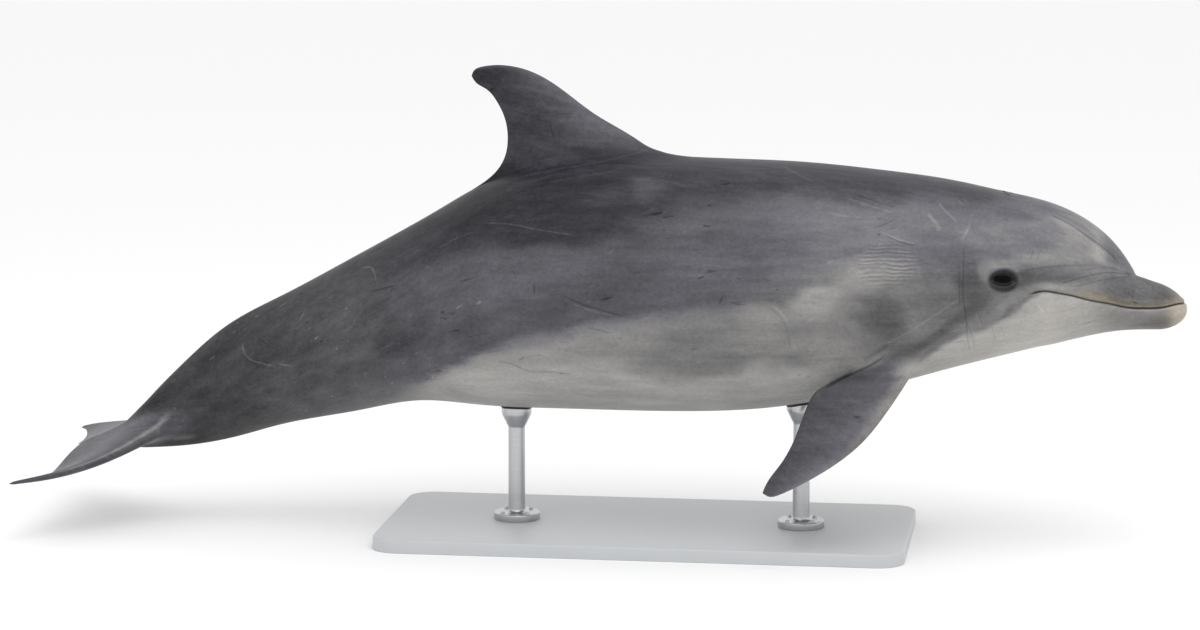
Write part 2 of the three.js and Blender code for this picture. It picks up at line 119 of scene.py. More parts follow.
# the body and head: one shell of rings from the fluke notch to the tip of the beak
torso = {
    "backLine": [(-1190, -318), (-1101, -279), (-1044, -218), (-967, -139), (-872, -54), (-732, 27),
                 (-546, 129), (-362, 234), (-271, 287), (-180, 323), (-60, 352), (90, 361), (268, 357),
                 (446, 352), (623, 337), (799, 314), (887, 296), (974, 278), (1062, 244), (1106, 215),
                 (1151, 170), (1189, 112), (1206, 78), (1214, 58)],
    "bellyLine": [(-1190, -326), (-1101, -329), (-1018, -328), (-924, -318), (-830, -297), (-736, -269),
                  (-550, -230), (-411, -203), (-274, -208), (-91, -211), (181, -210), (361, -200),
                  (480, -182), (625, -147), (805, -94), (980, -46), (1111, -8), (1180, 16), (1206, 32),
                  (1214, 38)],
    "halfWidth": [(-1190, 9), (-1101, 22), (-1046, 30), (-967, 41), (-872, 56), (-732, 92), (-546, 140),
                  (-362, 184), (-180, 212), (0, 226), (179, 229), (357, 224), (535, 211), (711, 190),
                  (840, 168), (930, 153), (1020, 134), (1100, 108), (1150, 86), (1189, 58), (1206, 36),
                  (1214, 18)],
    "widestLine": [(-1190, -322), (-1101, -304), (-1046, -277), (-967, -236), (-872, -182), (-732, -118),
                   (-546, -45), (-362, 15), (-180, 52), (0, 68), (268, 78), (535, 92), (799, 98),
                   (900, 94), (1000, 80), (1100, 62), (1189, 50), (1214, 47)],
    "backKeel": [(-1190, 1), (-1046, 1.45), (-872, 1.5), (-546, 1.3), (-180, 1.12), (268, 1), (1214, 1)],
    "bellyKeel": [(-1190, 1), (-1046, 1.45), (-872, 1.4), (-546, 1.15), (-180, 0.95), (535, 0.95),
                  (870, 1), (1214, 1)],
    "trunkRings": 150, "headRings": 168, "tipRings": 34, "around": 176,
    "headFrom": 700, "tipFrom": 1200,
    "crowding": 0.55,  # how strongly the rows of the head gather near the mouth
    "endCap": 2,       # how far the closed end of the tail stock stands out
}
beak = {
    "back": 905, "tip": 1299, "tipHeight": 40, "roundFrom": 1236, "crease": 14,
    "rootSize": 0.8, "rootLength": 110,  # the root hidden in the melon is smaller over this length
    "top": [(905, 108), (1060, 112), (1130, 119), (1189, 113), (1217, 104), (1236, 98), (1299, 82)],
    "bottom": [(905, -66), (980, -45), (1068, -23), (1111, -14), (1155, -8), (1198, -5), (1240, -4),
               (1299, -4)],
    "halfWidth": [(905, 128), (1000, 114), (1080, 92), (1150, 70), (1200, 59), (1236, 53), (1299, 45)],
}
mouth = {
    "line": [(961, 90), (975, 94), (994, 96), (1016, 92), (1046, 86), (1087, 74), (1132, 64), (1172, 53),
             (1212, 50), (1240, 51), (1262, 54.5), (1282, 57), (1299, 55)],
    "rowFrom": 830,  # ring rows bend from the widest line to the mouth line ahead of this
    "turnReach": 1.2, "halvings": 34,  # the search for the turn at which the skin meets the mouth line
    "parting": (955, 976),             # the lips part over this stretch
    "grooveDepth": 3.8, "grooveWidth": 1.9,
    "lips": [(1.3, 5.2, 3.4), (1.0, -4.8, 3.2)],  # swell, height from the line and width
    "corner": (958, 89), "cornerDepth": 1.2, "cornerWidth": 5,
}
melonCrease = {"depth": 2.6, "width": 7, "deepening": (985, 1110), "aboveMouth": 4, "outside": 99}
backLine, bellyLine = spline(torso["backLine"]), spline(torso["bellyLine"])
halfWidth, widestLine = spline(torso["halfWidth"]), spline(torso["widestLine"])
backKeel, bellyKeel = spline(torso["backKeel"]), spline(torso["bellyKeel"])
beakTop, beakBottom, beakWidth = spline(beak["top"]), spline(beak["bottom"]), spline(beak["halfWidth"])
mouthLine = spline(mouth["line"])
melonEnd = torso["backLine"][-1][0]


def ellipseReach(width, height, y, z):
    length = np.hypot(y, z) + 1e-9
    flat = (width < 0.01) | (height < 0.01)
    across = y / length / np.where(flat, 1, width)
    upward = z / length / np.where(flat, 1, height)
    return np.where(flat, 0, 1 / np.maximum(np.hypot(across, upward), 1e-9))


def sectionCentre(x):
    ahead = (x - melonEnd) / (beak["tip"] - melonEnd)
    return np.where(x <= melonEnd, widestLine(x), lerp(widestLine(melonEnd), beak["tipHeight"], ahead))


# y and z of the skin at x, where turn runs round the section from the animal's left side over the back,
# and how far the beak stands out of the melon there
def skinSection(x, turn):
    centre = sectionCentre(x)
    upper = np.sin(turn) >= 0
    rounding = np.clip((x - beak["roundFrom"]) / (beak["tip"] - beak["roundFrom"]), 0, 1)
    emerging = lerp(beak["rootSize"], 1, smoothStep(x, beak["back"], beak["back"] + beak["rootLength"]))
    closing = np.where(x < beak["back"], 0, emerging * np.sqrt(1 - rounding ** 2))
    beakHeight = np.where(upper, beakTop(x) - centre, centre - beakBottom(x)) * closing
    beakSide = beakWidth(x) * closing
    onHull = np.where(x < melonEnd, 1.0, 0.0)
    hullHeight = np.where(upper, backLine(x) - centre, centre - bellyLine(x)) * onHull
    hullSide = halfWidth(x) * onHull
    keel = np.where(upper, backKeel(x), bellyKeel(x))
    cosine = np.cos(turn)
    y = np.maximum(hullSide, beakSide) * np.sign(cosine) * np.abs(cosine) ** keel
    z = np.maximum(hullHeight, beakHeight) * np.sin(turn)
    direct = np.hypot(y, z) + 1e-9
    hullReach = np.where(x < beak["back"], direct, ellipseReach(hullSide, hullHeight, y, z))
    beakReach = ellipseReach(beakSide, beakHeight, y, z)
    both = (x >= beak["back"]) & (x < melonEnd)
    reach = np.where(both, softMax(hullReach, beakReach, beak["crease"]), np.maximum(hullReach, beakReach))
    return y / direct * reach, centre + z / direct * reach, beakReach - hullReach


# where a ring's first row starts, so that one row lies along the mouth line
def mouthTurn(x):
    ahead = smoothStep(x, mouth["rowFrom"], mouth["line"][0][0])
    wanted = lerp(sectionCentre(x), mouthLine(x), ahead)
    low, high = np.full_like(x, -mouth["turnReach"]), np.full_like(x, mouth["turnReach"])
    for _ in range(mouth["halvings"]):
        middle = (low + high) / 2
        under = skinSection(x, middle)[1] < wanted
        low, high = np.where(under, middle, low), np.where(under, high, middle)
    return np.where(ahead > 0, low, 0)


# a grid whose corner points are placed from an array, its seam and its closed ends merged
def shellFrom(name, points):
    rings, around = points.shape[0] - 1, points.shape[1] - 1
    bm = bmesh.new()
    bmesh.ops.create_grid(bm, x_segments=rings, y_segments=around, size=1)
    for vert in bm.verts:
        i, j = round((vert.co.x + 1) / 2 * rings), round((vert.co.y + 1) / 2 * around)
        vert.co = points[i, j]
    bmesh.ops.remove_doubles(bm, verts=bm.verts, dist=1e-6)
    bmesh.ops.recalc_face_normals(bm, faces=bm.faces)
    return objectFrom(name, bm)


def objectFrom(name, bm):
    for face in bm.faces:
        face.smooth = True
    mesh = bpy.data.meshes.new(name)
    bm.to_mesh(mesh)
    bm.free()
    piece = bpy.data.objects.new(name, mesh)
    scene.collection.objects.link(piece)
    return piece


def bodyShell():
    trunk = np.linspace(torso["backLine"][0][0], torso["headFrom"], torso["trunkRings"], endpoint=False)
    head = np.linspace(torso["headFrom"], torso["tipFrom"], torso["headRings"], endpoint=False)
    sweep = np.sin(np.linspace(0, math.pi / 2, torso["tipRings"]))
    tip = lerp(torso["tipFrom"], beak["tip"], sweep)
    x = np.concatenate([trunk[:1], trunk, head, tip])
    start = mouthTurn(x)[:, None]
    half = torso["around"] // 2
    share = np.arange(half) / half
    crowd = torso["crowding"] * smoothStep(x, torso["headFrom"], beak["back"])[:, None]
    eased = share - crowd / (2 * math.pi) * np.sin(2 * math.pi * share)
    upper = start + (math.pi - 2 * start) * eased
    lower = math.pi - start + (math.pi + 2 * start) * eased
    turn = np.concatenate([upper, lower, 2 * math.pi + start], axis=1)
    across = np.repeat(x[:, None], turn.shape[1], axis=1)
    y, z, _ = skinSection(across, turn)
    points = np.stack([across, y, z], axis=-1)
    points[0] = x[0] - torso["endCap"], 0, sectionCentre(x[0])
    points[-1] = beak["tip"], 0, beak["tipHeight"]
    return shellFrom("skin", toFrame(points))


# fins: front and rear edge from inside the body to the tip, thickness along the span
dorsal = {
    "leading": [(250, 300), (165, 350), (124, 370), (78, 400), (-10, 451), (-100, 516), (-155, 545),
                (-215, 558), (-262, 555), (-284, 545), (-289, 533)],
    "trailing": [(-345, 225), (-318, 256), (-276, 286), (-238, 316), (-215, 352), (-208, 392), (-214, 438),
                 (-233, 478), (-256, 504), (-280, 519), (-289, 533)],
    "thickness": [(0, 92), (0.12, 66), (0.3, 43), (0.6, 27), (0.9, 15), (1, 9)],
    "spans": 66, "around": 56, "fillet": 32, "filletFade": (-235, -120),
}
flipper = {
    "leading": [(742, 70, -30), (716, 134, -76), (690, 164, -120), (655, 194, -172), (608, 226, -230),
                (548, 254, -278), (472, 282, -321), (434, 294, -338), (410, 299, -342), (397, 301, -334)],
    "trailing": [(590, 70, -30), (585, 140, -78), (542, 176, -104), (496, 203, -134), (484, 214, -158),
                 (460, 250, -225), (432, 276, -276), (403, 295, -318), (397, 301, -334)],
    "thickness": [(0, 62), (0.15, 44), (0.35, 29), (0.65, 20), (0.9, 11), (1, 6)],
    "spans": 70, "around": 44, "fillet": 34, "filletFade": (0, 1),
    # how much further forward the left one's tip is held, and how the swing grows along the flipper
    "leftAhead": 44, "leftFrom": 100, "leftBend": 1.5,
}
fluke = {
    "root": (-952, -249), "pitch": 16.8, "roll": 6.5, "rollFade": 0.75, "arch": 18, "droop": 4,
    "crossingWithin": 0.2,  # the edges cross the middle of the tail in this first share of their length
    "leading": [(-8, -48), (30, -16), (52, 22), (82, 66), (120, 108), (165, 156), (212, 208), (256, 262),
                (283, 300), (296, 334)],
    "trailing": [(-8, 249), (12, 260), (40, 270), (80, 277), (125, 281), (175, 288), (222, 300),
                 (258, 314), (282, 327), (296, 334)],
    "thickness": [(0, 50), (0.15, 40), (0.35, 29), (0.7, 15), (1, 5)],
    "spans": 64, "around": 48, "fillet": 36, "filletFade": (-1120, -1040),
}


bladeShape = {"thickest": 0.6, "rounding": 1.2, "spanStep": 0.02}  # thickest as a share of the chord


def foil(along, thickness):
    shape = (2.969 * np.sqrt(along) - 1.26 * along - 3.516 * along ** 2 + 2.843 * along ** 3
             - 1.036 * along ** 4)
    rounding = bladeShape["rounding"] * np.sqrt(np.maximum(along * (1 - along), 0))
    return thickness / 2 * shape + rounding


# rings of a fin from its root to its tip; startAt says where along each edge the root lies
def bladePoints(leading, trailing, values, startAt=(0.0, 0.0)):
    front, rear = pathCurve(leading), pathCurve(trailing)
    t = np.sin(np.linspace(0, math.pi / 2, values["spans"]))

    def edges(at):
        at = np.clip(at, 0, 1)
        return front(lerp(startAt[0], 1, at)), rear(lerp(startAt[1], 1, at))
    edge, chord = edges(t)[0], edges(t)[1] - edges(t)[0]
    span = sum(edges(t + bladeShape["spanStep"])) - sum(edges(t - bladeShape["spanStep"]))
    face = np.cross(chord, span)
    face /= np.linalg.norm(face, axis=1, keepdims=True) + 1e-9
    turn = np.linspace(0, 2 * math.pi, values["around"] + 1)
    along = (1 - np.cos(turn)) / 2
    thickest = np.linalg.norm(chord, axis=1) * bladeShape["thickest"]
    thick = np.minimum(spline(values["thickness"])(t), thickest)
    out = np.sign(np.sin(turn)) * foil(along, thick[:, None])
    points = edge[:, None] + chord[:, None] * along[:, None] + face[:, None] * out[..., None]
    points[-1] = front(1.0)
    return points


def rootedShell(name, points):
    root = np.broadcast_to(points[0].mean(axis=0), points[:1].shape)
    return shellFrom(name, toFrame(np.concatenate([root, points])))


def dorsalShell():
    upright = [[(x, 0, z) for x, z in dorsal[edge]] for edge in ("leading", "trailing")]
    return rootedShell("dorsal", bladePoints(*upright, dorsal))


def aheadOf(out, side):  # how far forward a point of the left flipper is swung
    length = flipper["leading"][-1][1] - flipper["leftFrom"]
    share = np.clip((out - flipper["leftFrom"]) / length, 0, 1)
    return flipper["leftAhead"] * share ** flipper["leftBend"] * (side > 0)


def flipperShell(side):
    placed = [[(x + aheadOf(out, side), side * out, z) for x, out, z in flipper[edge]]
              for edge in ("leading", "trailing")]
    return rootedShell("flipper", bladePoints(*placed, flipper))


# one edge of a fluke, pitched and rolled with the tail
def flukeEdge(edge, side):
    pitch, roll = math.tan(math.radians(fluke["pitch"])), math.tan(math.radians(fluke["roll"]))
    rootX, rootZ = fluke["root"]
    reach = fluke["leading"][-1][0]
    line = []
    for out, back in fluke[edge]:
        share = out / reach
        drop = fluke["arch"] * math.sin(math.pi * share) + fluke["droop"] * share
        lean = side * out * roll * (1 - fluke["rollFade"] * share ** 2)
        line.append((rootX - back, side * out, rootZ - back * pitch + lean - drop))
    return line


def middleCrossing(line, side):  # how far along a fluke's edge it crosses the middle of the tail
    steps = np.linspace(0, fluke["crossingWithin"], 400)
    return float(np.interp(0, side * pathCurve(line)(steps)[:, 1], steps))


# both flukes in one shell, joined along the middle
def flukeShell():
    sides = []
    for side in (1, -1):
        placed = [flukeEdge(edge, side) for edge in ("leading", "trailing")]
        points = bladePoints(*placed, fluke, [middleCrossing(line, side) for line in placed])
        points[0, :, 1] = 0
        sides.append(points if side > 0 else points[:, ::-1])
    middle = (sides[0][0] + sides[1][0]) / 2
    return shellFrom("flukes", toFrame(np.concatenate([sides[0][:0:-1], middle[None], sides[1][1:]])))


def openMesh(piece):
    bm = bmesh.new()
    bm.from_mesh(piece.data)
    return bm


def keepMesh(bm, piece):
    for face in bm.faces:
        face.smooth = True
    bm.to_mesh(piece.data)
    bm.free()


def treeOf(piece):
    bm = openMesh(piece)
    tree = BVHTree.FromBMesh(bm)
    bm.free()
    return tree


def coordsOf(mesh):
    coords = np.empty(len(mesh.vertices) * 3)
    mesh.vertices.foreach_get("co", coords)
    return coords.reshape(-1, 3)


def normalsOf(mesh):
    normals = np.empty(len(mesh.vertices) * 3, np.float32)
    mesh.vertex_normals.foreach_get("vector", normals)
    return normals.reshape(-1, 3).astype(float)


# lips, mouth groove, the corner of the mouth, and the crease between melon and beak
def carveHead(piece):
    mesh = piece.data
    coords, normals = fromFrame(coordsOf(mesh)), normalsOf(mesh)
    x, y, z = coords.T
    gap = z - mouthLine(x)
    parted = smoothStep(x, *mouth["parting"])
    relief = -mouth["grooveDepth"] * hump(gap, 0, mouth["grooveWidth"]) * parted
    for swell, height, width in mouth["lips"]:
        relief += swell * hump(gap, height, width) * parted
    cornerX, cornerZ = mouth["corner"]
    relief -= mouth["cornerDepth"] * hump(np.hypot(x - cornerX, z - cornerZ), 0, mouth["cornerWidth"])
    turn = np.arctan2(z - sectionCentre(x), y)
    onMelon = (x > beak["back"]) & (x < melonEnd)
    lead = np.where(onMelon, skinSection(x, turn)[2], melonCrease["outside"])
    crease = melonCrease["depth"] * hump(lead, 0, melonCrease["width"])
    crease *= smoothStep(x, *melonCrease["deepening"])
    relief -= crease * (z > mouthLine(x) + melonCrease["aboveMouth"])
    coords += normals * relief[:, None]
    mesh.vertices.foreach_set("co", toFrame(coords).ravel())
    mesh.update()


# the blowhole: a crescent slit with its horns forward and a low rim round it
blowhole = {
    "x": 895, "radius": 27, "spread": 1.0, "depth": 4.6, "width": 2.2,
    "rim": 0.5, "rimAway": 6, "rimWidth": 4, "ahead": 4,
    "fineReach": 0.046, "reach": 0.060,  # in metres: the finer mesh and the shaped skin round the slit
}


def slitRelief(x, y):
    away = x - blowhole["x"] - blowhole["radius"]
    radius, turn = math.hypot(away, y), math.atan2(abs(y), -away)
    past = max(turn - blowhole["spread"], 0) * blowhole["radius"]
    apart = math.hypot(radius - blowhole["radius"], past)
    rim = blowhole["rim"] * hump(apart, blowhole["rimAway"], blowhole["rimWidth"])
    return rim - blowhole["depth"] * hump(apart, 0, blowhole["width"])


def carveBlowhole(piece):
    centre = Vector(toFrame((blowhole["x"] + blowhole["ahead"], 0, float(backLine(blowhole["x"])))))
    bm = openMesh(piece)
    near = {face for face in bm.faces if (face.calc_center_median() - centre).length < blowhole["fineReach"]}
    edges = [edge for edge in bm.edges if near.intersection(edge.link_faces)]
    bmesh.ops.subdivide_edges(bm, edges=edges, cuts=2, use_grid_fill=True)
    bm.normal_update()
    for vert in bm.verts:
        if (vert.co - centre).length <= blowhole["reach"]:
            x, y, _ = fromFrame(vert.co)
            vert.co += vert.normal * slitRelief(x, y) * millimetre
    keepMesh(bm, piece)


# eyes: the lids are rings drawn in from the skin to the rim that lies on the eyeball
eye = {
    "x": 901, "z": 122, "length": 26, "height": 20, "depth": 17, "sunk": 14.6,
    "flattest": 0.02,             # keeps the eyeball's height real past its outline
    "patch": (47, 34),            # half size of the skin that the lids replace
    "opening": (21.5, 9.6, 8.0),  # half length, height above and below the middle
    "pinch": 1.25, "slant": 1.2,  # how pointed the corners are, and how far the front one is lower
    "rings": 16, "crowding": 0.8, "lidThick": 1.4, "settleFrom": 0.45, "swell": 2.0,
    # upper lid (1) or lower (-1), depth of the fold, distance from the rim and width
    "folds": [(1, 1.3, 6.5, 1.8), (-1, 1.0, 5.5, 1.5), (-1, 0.9, 12.5, 1.8), (1, 0.6, 14, 2.2)],
    "innerLid": [(0.7, 0.975), (-0.4, 0.965), (-3.0, 0.96)],  # height over the ball, and size
    "probe": 10, "fromSide": 300, "evenings": 30,
    "castFrom": 0.04, "searchReach": 0.07, "socketDepth": 0.012,  # in metres
}


def skinBeside(tree, x, z, side):  # the skin straight beside a place in the side view
    start = Vector(toFrame((x, side * eye["fromSide"], z)))
    return tree.ray_cast(start, Vector((0, -side, 0)))[0]


def eyeFrame(tree, side):
    here = skinBeside(tree, eye["x"], eye["z"], side)
    forward = (skinBeside(tree, eye["x"] + eye["probe"], eye["z"], side) - here).normalized()
    upward = skinBeside(tree, eye["x"], eye["z"] + eye["probe"], side) - here
    out = (upward.cross(forward) * side).normalized()
    forward = (forward - out * forward.dot(out)).normalized()
    up = (upward - out * upward.dot(out) - forward * upward.dot(forward)).normalized()
    return here, forward, up, out


def eyeballHeight(ahead, above):
    inside = 1 - (ahead / eye["length"]) ** 2 - (above / eye["height"]) ** 2
    return eye["depth"] * math.sqrt(max(inside, eye["flattest"])) - eye["sunk"]


def rimPoint(angle):
    length, above, below = eye["opening"]
    pinch = abs(math.sin(angle)) ** eye["pinch"] * (1 if math.sin(angle) > 0 else -1)
    tall = above if pinch > 0 else below
    return length * math.cos(angle), tall * pinch - eye["slant"] * math.cos(angle)


def lidHeight(angle, share, apart):
    height = eye["swell"] * math.sin(math.pi * share) ** 2
    for lid, depth, away, width in eye["folds"]:
        height -= depth * max(lid * math.sin(angle), 0) * hump(apart, away, width)
    return height


def loopOrder(edges):  # the points of a closed loop of edges, in order
    verts = [edges[0].verts[0], edges[0].verts[1]]
    left = set(edges[1:])
    while left:
        step = next((edge for edge in verts[-1].link_edges if edge in left), None)
        if step is None:
            break
        left.remove(step)
        verts.append(step.other_vert(verts[-1]))
    return verts[:-1]


def besideEye(spot, point):  # how far ahead of the middle of the eye a point lies, and how far above it
    here, forward, up, _ = spot
    apart = (point - here) * 1000
    return apart.dot(forward), apart.dot(up)


def ontoSkin(tree, spot, ahead, above):  # the skin under a place beside the middle of the eye
    here, forward, up, out = spot
    start = here + (forward * ahead + up * above) * millimetre + out * eye["castFrom"]
    return tree.ray_cast(start, -out)[0]


def cutPatch(bm, spot, side):  # cuts out the skin that the lids replace, and gives the open edge
    halfLong, halfTall = eye["patch"]
    inner = []
    for face in bm.faces:
        middle = face.calc_center_median()
        if middle.y * side > 0 and (middle - spot[0]).length < eye["searchReach"]:
            ahead, above = besideEye(spot, middle)
            if math.hypot(ahead / halfLong, above / halfTall) < 1:
                inner.append(face)
    bmesh.ops.delete(bm, geom=inner, context="FACES")
    return [edge for edge in bm.edges if edge.is_boundary]


def evenAngles(spot, border):  # each border point's angle round the eye, their spacing evened out
    halfLong, halfTall = eye["patch"]
    places = [besideEye(spot, vert.co) for vert in border]
    angles = np.unwrap([math.atan2(above / halfTall, ahead / halfLong) for ahead, above in places])
    lap = math.copysign(2 * math.pi, angles[-1] - angles[0])
    for _ in range(eye["evenings"]):
        before, after = np.roll(angles, 1), np.roll(angles, -1)
        before[0] -= lap
        after[-1] += lap
        angles = angles * 0.5 + (before + after) * 0.25
    return angles


# a point of the lid: share runs from the skin at 0 to the rim at 1, lift is its height over the eyeball
def lidPoint(tree, spot, angle, share, lift, shrink):
    here, forward, up, out = spot
    halfLong, halfTall = eye["patch"]
    rimAhead, rimAbove = rimPoint(angle)
    ahead = lerp(halfLong * math.cos(angle), rimAhead * shrink, share)
    above = lerp(halfTall * math.sin(angle), rimAbove * shrink, share)
    skinHeight = (ontoSkin(tree, spot, ahead, above) - here).dot(out) * 1000
    onSkin = skinHeight + lidHeight(angle, share, math.hypot(ahead - rimAhead, above - rimAbove))
    onBall = eyeballHeight(rimAhead, rimAbove) + lift
    height = lerp(onSkin, onBall, smoothStep(share, eye["settleFrom"], 1))
    return here + (forward * ahead + up * above + out * height) * millimetre


def growInward(bm, loop):  # a new ring from an open edge, as its points and its own open edge
    grown = bmesh.ops.extrude_edge_only(bm, edges=loop)["geom"]
    verts = [item for item in grown if isinstance(item, bmesh.types.BMVert)]
    return verts, [item for item in grown if isinstance(item, bmesh.types.BMEdge) and item.is_boundary]


def carveEyes(piece):
    tree = treeOf(piece)
    bm = openMesh(piece)
    angleLayer = bm.verts.layers.float.new("lidAngle")
    halfLong, halfTall = eye["patch"]
    count = eye["rings"]
    rings = [((k / count) ** eye["crowding"], eye["lidThick"], 1) for k in range(1, count + 1)]
    rings += [(1, lift, shrink) for lift, shrink in eye["innerLid"]]
    spots = {}
    for side in (1, -1):
        spots[side] = spot = eyeFrame(tree, side)
        loop = cutPatch(bm, spot, side)
        border = loopOrder(loop)
        for vert, angle in zip(border, evenAngles(spot, border)):
            vert[angleLayer] = angle
            vert.co = ontoSkin(tree, spot, halfLong * math.cos(angle), halfTall * math.sin(angle))
        for share, lift, shrink in rings:
            verts, loop = growInward(bm, loop)
            for vert in verts:
                vert.co = lidPoint(tree, spot, vert[angleLayer], share, lift, shrink)
        verts, _ = growInward(bm, loop)
        bmesh.ops.pointmerge(bm, verts=verts, merge_co=spot[0] - spot[3] * eye["socketDepth"])
    bmesh.ops.recalc_face_normals(bm, faces=bm.faces)
    bm.verts.layers.float.remove(angleLayer)
    keepMesh(bm, piece)
    return spots


def joinShells(piece, others):
    for other in others:
        join = piece.modifiers.new("join", "BOOLEAN")
        join.operation = "UNION"
        join.solver = "MANIFOLD"
        join.object = other
    depsgraph = bpy.context.evaluated_depsgraph_get()
    joined = bpy.data.meshes.new_from_object(piece.evaluated_get(depsgraph))
    piece.modifiers.clear()
    piece.data = joined
    for other in others:
        bpy.data.objects.remove(other)


# the seam where a fin leaves the body: points are merged, pushed out into a fillet and relaxed
rootSeam = {
    "weldWithin": 0.004, "weld": 0.0014, "sliver": 1e-5, "tipReach": 0.014,  # in metres
    "faintest": 0.02,   # below this share of the fade there is no fillet
    "flatness": 3.2,    # larger is a shallower fillet
    "relaxWithin": 0.7, "relaxAbove": 0.3, "rounds": 10, "tipRounds": 4,
}


def relax(bm, verts, rounds):
    for _ in range(rounds):
        bmesh.ops.smooth_vert(bm, verts=verts, factor=0.5, use_axis_x=True, use_axis_y=True,
                              use_axis_z=True)


# the points within limit of both the body and a fin, with the nearest places and the fillet's share
def nearSeam(bm, bodyTree, root, limit):
    shape, finTree, (low, high) = root
    size = shape["fillet"] * millimetre
    found = []
    for vert in bm.verts:
        p = vert.co
        if not all(low[k] - size < p[k] < high[k] + size for k in range(3)):
            continue
        share = float(smoothStep(fromFrame(p)[0], *shape["filletFade"]))
        toBody, toFin = bodyTree.find_nearest(p, limit), finTree.find_nearest(p, limit)
        if share > rootSeam["faintest"] and toBody[0] is not None and toFin[0] is not None:
            found.append((vert, toBody, toFin, share))
    return found


def filletRoots(piece, bodyTree, roots):
    bm = openMesh(piece)
    for root in roots:
        size = root[0]["fillet"] * millimetre
        tight = [found[0] for found in nearSeam(bm, bodyTree, root, rootSeam["weldWithin"])]
        bmesh.ops.remove_doubles(bm, verts=tight, dist=rootSeam["weld"])
        moves = []
        for vert, toBody, toFin, share in nearSeam(bm, bodyTree, root, size):
            lead = (toFin[3] - toBody[3]) / size
            corner = max(1 - abs(lead), 0)
            normal = (toBody[1] * (0.5 + 0.5 * lead) + toFin[1] * (0.5 - 0.5 * lead)).normalized()
            moves.append((vert, normal * corner * corner * size * share / rootSeam["flatness"]))
        for vert, move in moves:
            vert.co += move
        around = nearSeam(bm, bodyTree, root, size * rootSeam["relaxWithin"])
        relax(bm, [found[0] for found in around if found[3] > rootSeam["relaxAbove"]], rootSeam["rounds"])
    bmesh.ops.dissolve_degenerate(bm, edges=bm.edges, dist=rootSeam["sliver"])
    for tip in finTips():
        atTip = [vert for vert in bm.verts if (vert.co - tip).length < rootSeam["tipReach"]]
        relax(bm, atTip, rootSeam["tipRounds"])
    keepMesh(bm, piece)


def finTips():
    x, z = dorsal["leading"][-1]
    tips = [(x, 0, z)]
    x, out, z = flipper["leading"][-1]
    tips += [(x + aheadOf(out, side), side * out, z) for side in (1, -1)]
    return [Vector(toFrame(tip)) for tip in tips]


skin = bodyShell()
carveHead(skin)
carveBlowhole(skin)
eyeFrames = carveEyes(skin)
print("head and body shell:", len(skin.data.vertices), "points")
fins = [(dorsal, dorsalShell()), (flipper, flipperShell(1)), (flipper, flipperShell(-1)),
        (fluke, flukeShell())]
bodyTree = treeOf(skin)
roots = []
for shape, shell in fins:
    coords = coordsOf(shell.data)
    roots.append((shape, treeOf(shell), (coords.min(axis=0), coords.max(axis=0))))
joinShells(skin, [shell for _, shell in fins])
filletRoots(skin, bodyTree, roots)
triangles = sum(len(face.vertices) - 2 for face in skin.data.polygons)
print("skin with fins:", len(skin.data.vertices), "points,", triangles, "triangles")
fleshNodes = [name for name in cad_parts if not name.startswith(("eye_", "stand_"))]
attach(skin, "root")
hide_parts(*fleshNodes)


# markings: edges give the height of a boundary along the body, tones are grey levels from 0 to 255
markings = {
    "capeEdge": [(-1190, -420), (-900, -150), (-720, -18), (-530, 92), (-340, 142), (-245, 180), (-60, 196),
                 (60, 222), (200, 264), (370, 284), (540, 288), (640, 283), (720, 288), (860, 274),
                 (1010, 254), (1075, 214), (1120, 180), (1190, 125)],
    "stepEdge": [(-1190, -700), (-660, -340), (-590, -220), (-545, -158), (-480, -140), (-410, -132),
                 (-265, -88), (-100, -28), (55, 18), (120, 31), (300, 54), (470, 76), (532, 82), (590, 60),
                 (640, -20), (700, -140)],
    "bellyEdge": [(-1190, -700), (-540, -330), (-470, -204), (-430, -166), (-368, -124), (-290, -96),
                  (-220, -86), (-60, -78), (60, -90), (120, -98), (200, -112), (300, -98), (465, -88),
                  (530, -100), (620, -128), (700, -120)],
    "throatEdge": [(670, -122), (715, -78), (765, -40), (810, -10), (853, 10), (896, 29), (935, 52),
                   (960, 78), (985, 92)],
    "backTone": [(-1190, 62), (-1000, 55), (-720, 64), (-500, 58), (-300, 45), (-120, 43), (40, 46),
                 (250, 58), (500, 64), (750, 62), (900, 72), (1050, 98), (1160, 106)],
    "flankTone": [(-1190, 56), (-950, 54), (-800, 65), (-620, 78), (-400, 82), (-200, 88), (100, 84),
                  (300, 92), (500, 110), (620, 118), (800, 106), (950, 118), (1070, 132), (1120, 128)],
    "lowerTone": [(-600, 78), (-545, 90), (-470, 104), (-395, 118), (-340, 132), (-260, 144), (-150, 148),
                  (50, 134), (250, 122), (400, 132), (560, 126), (700, 118)],
    "bellyTone": [(-420, 132), (-360, 154), (-260, 172), (0, 168), (400, 166), (560, 160), (700, 152)],
    "throatTone": [(700, 162), (850, 170), (1000, 172), (1080, 158), (1150, 140), (1200, 126),
                   (1260, 134), (1299, 168)],
    "waves": [(70, 5, 0), (24, 2, 300)],  # length, height and shift of the waves along the edges
    "capeStill": (1000, 700),             # the waves of the cape's edge die out towards the forehead
    "throatMouth": 985, "throatSlope": 0.8, "throatWave": 0.15, "throatWaveTo": 960,
    "throatEnds": [(110, 720, 630), (400, 640, 500)],  # the throat's tone ends behind these
}
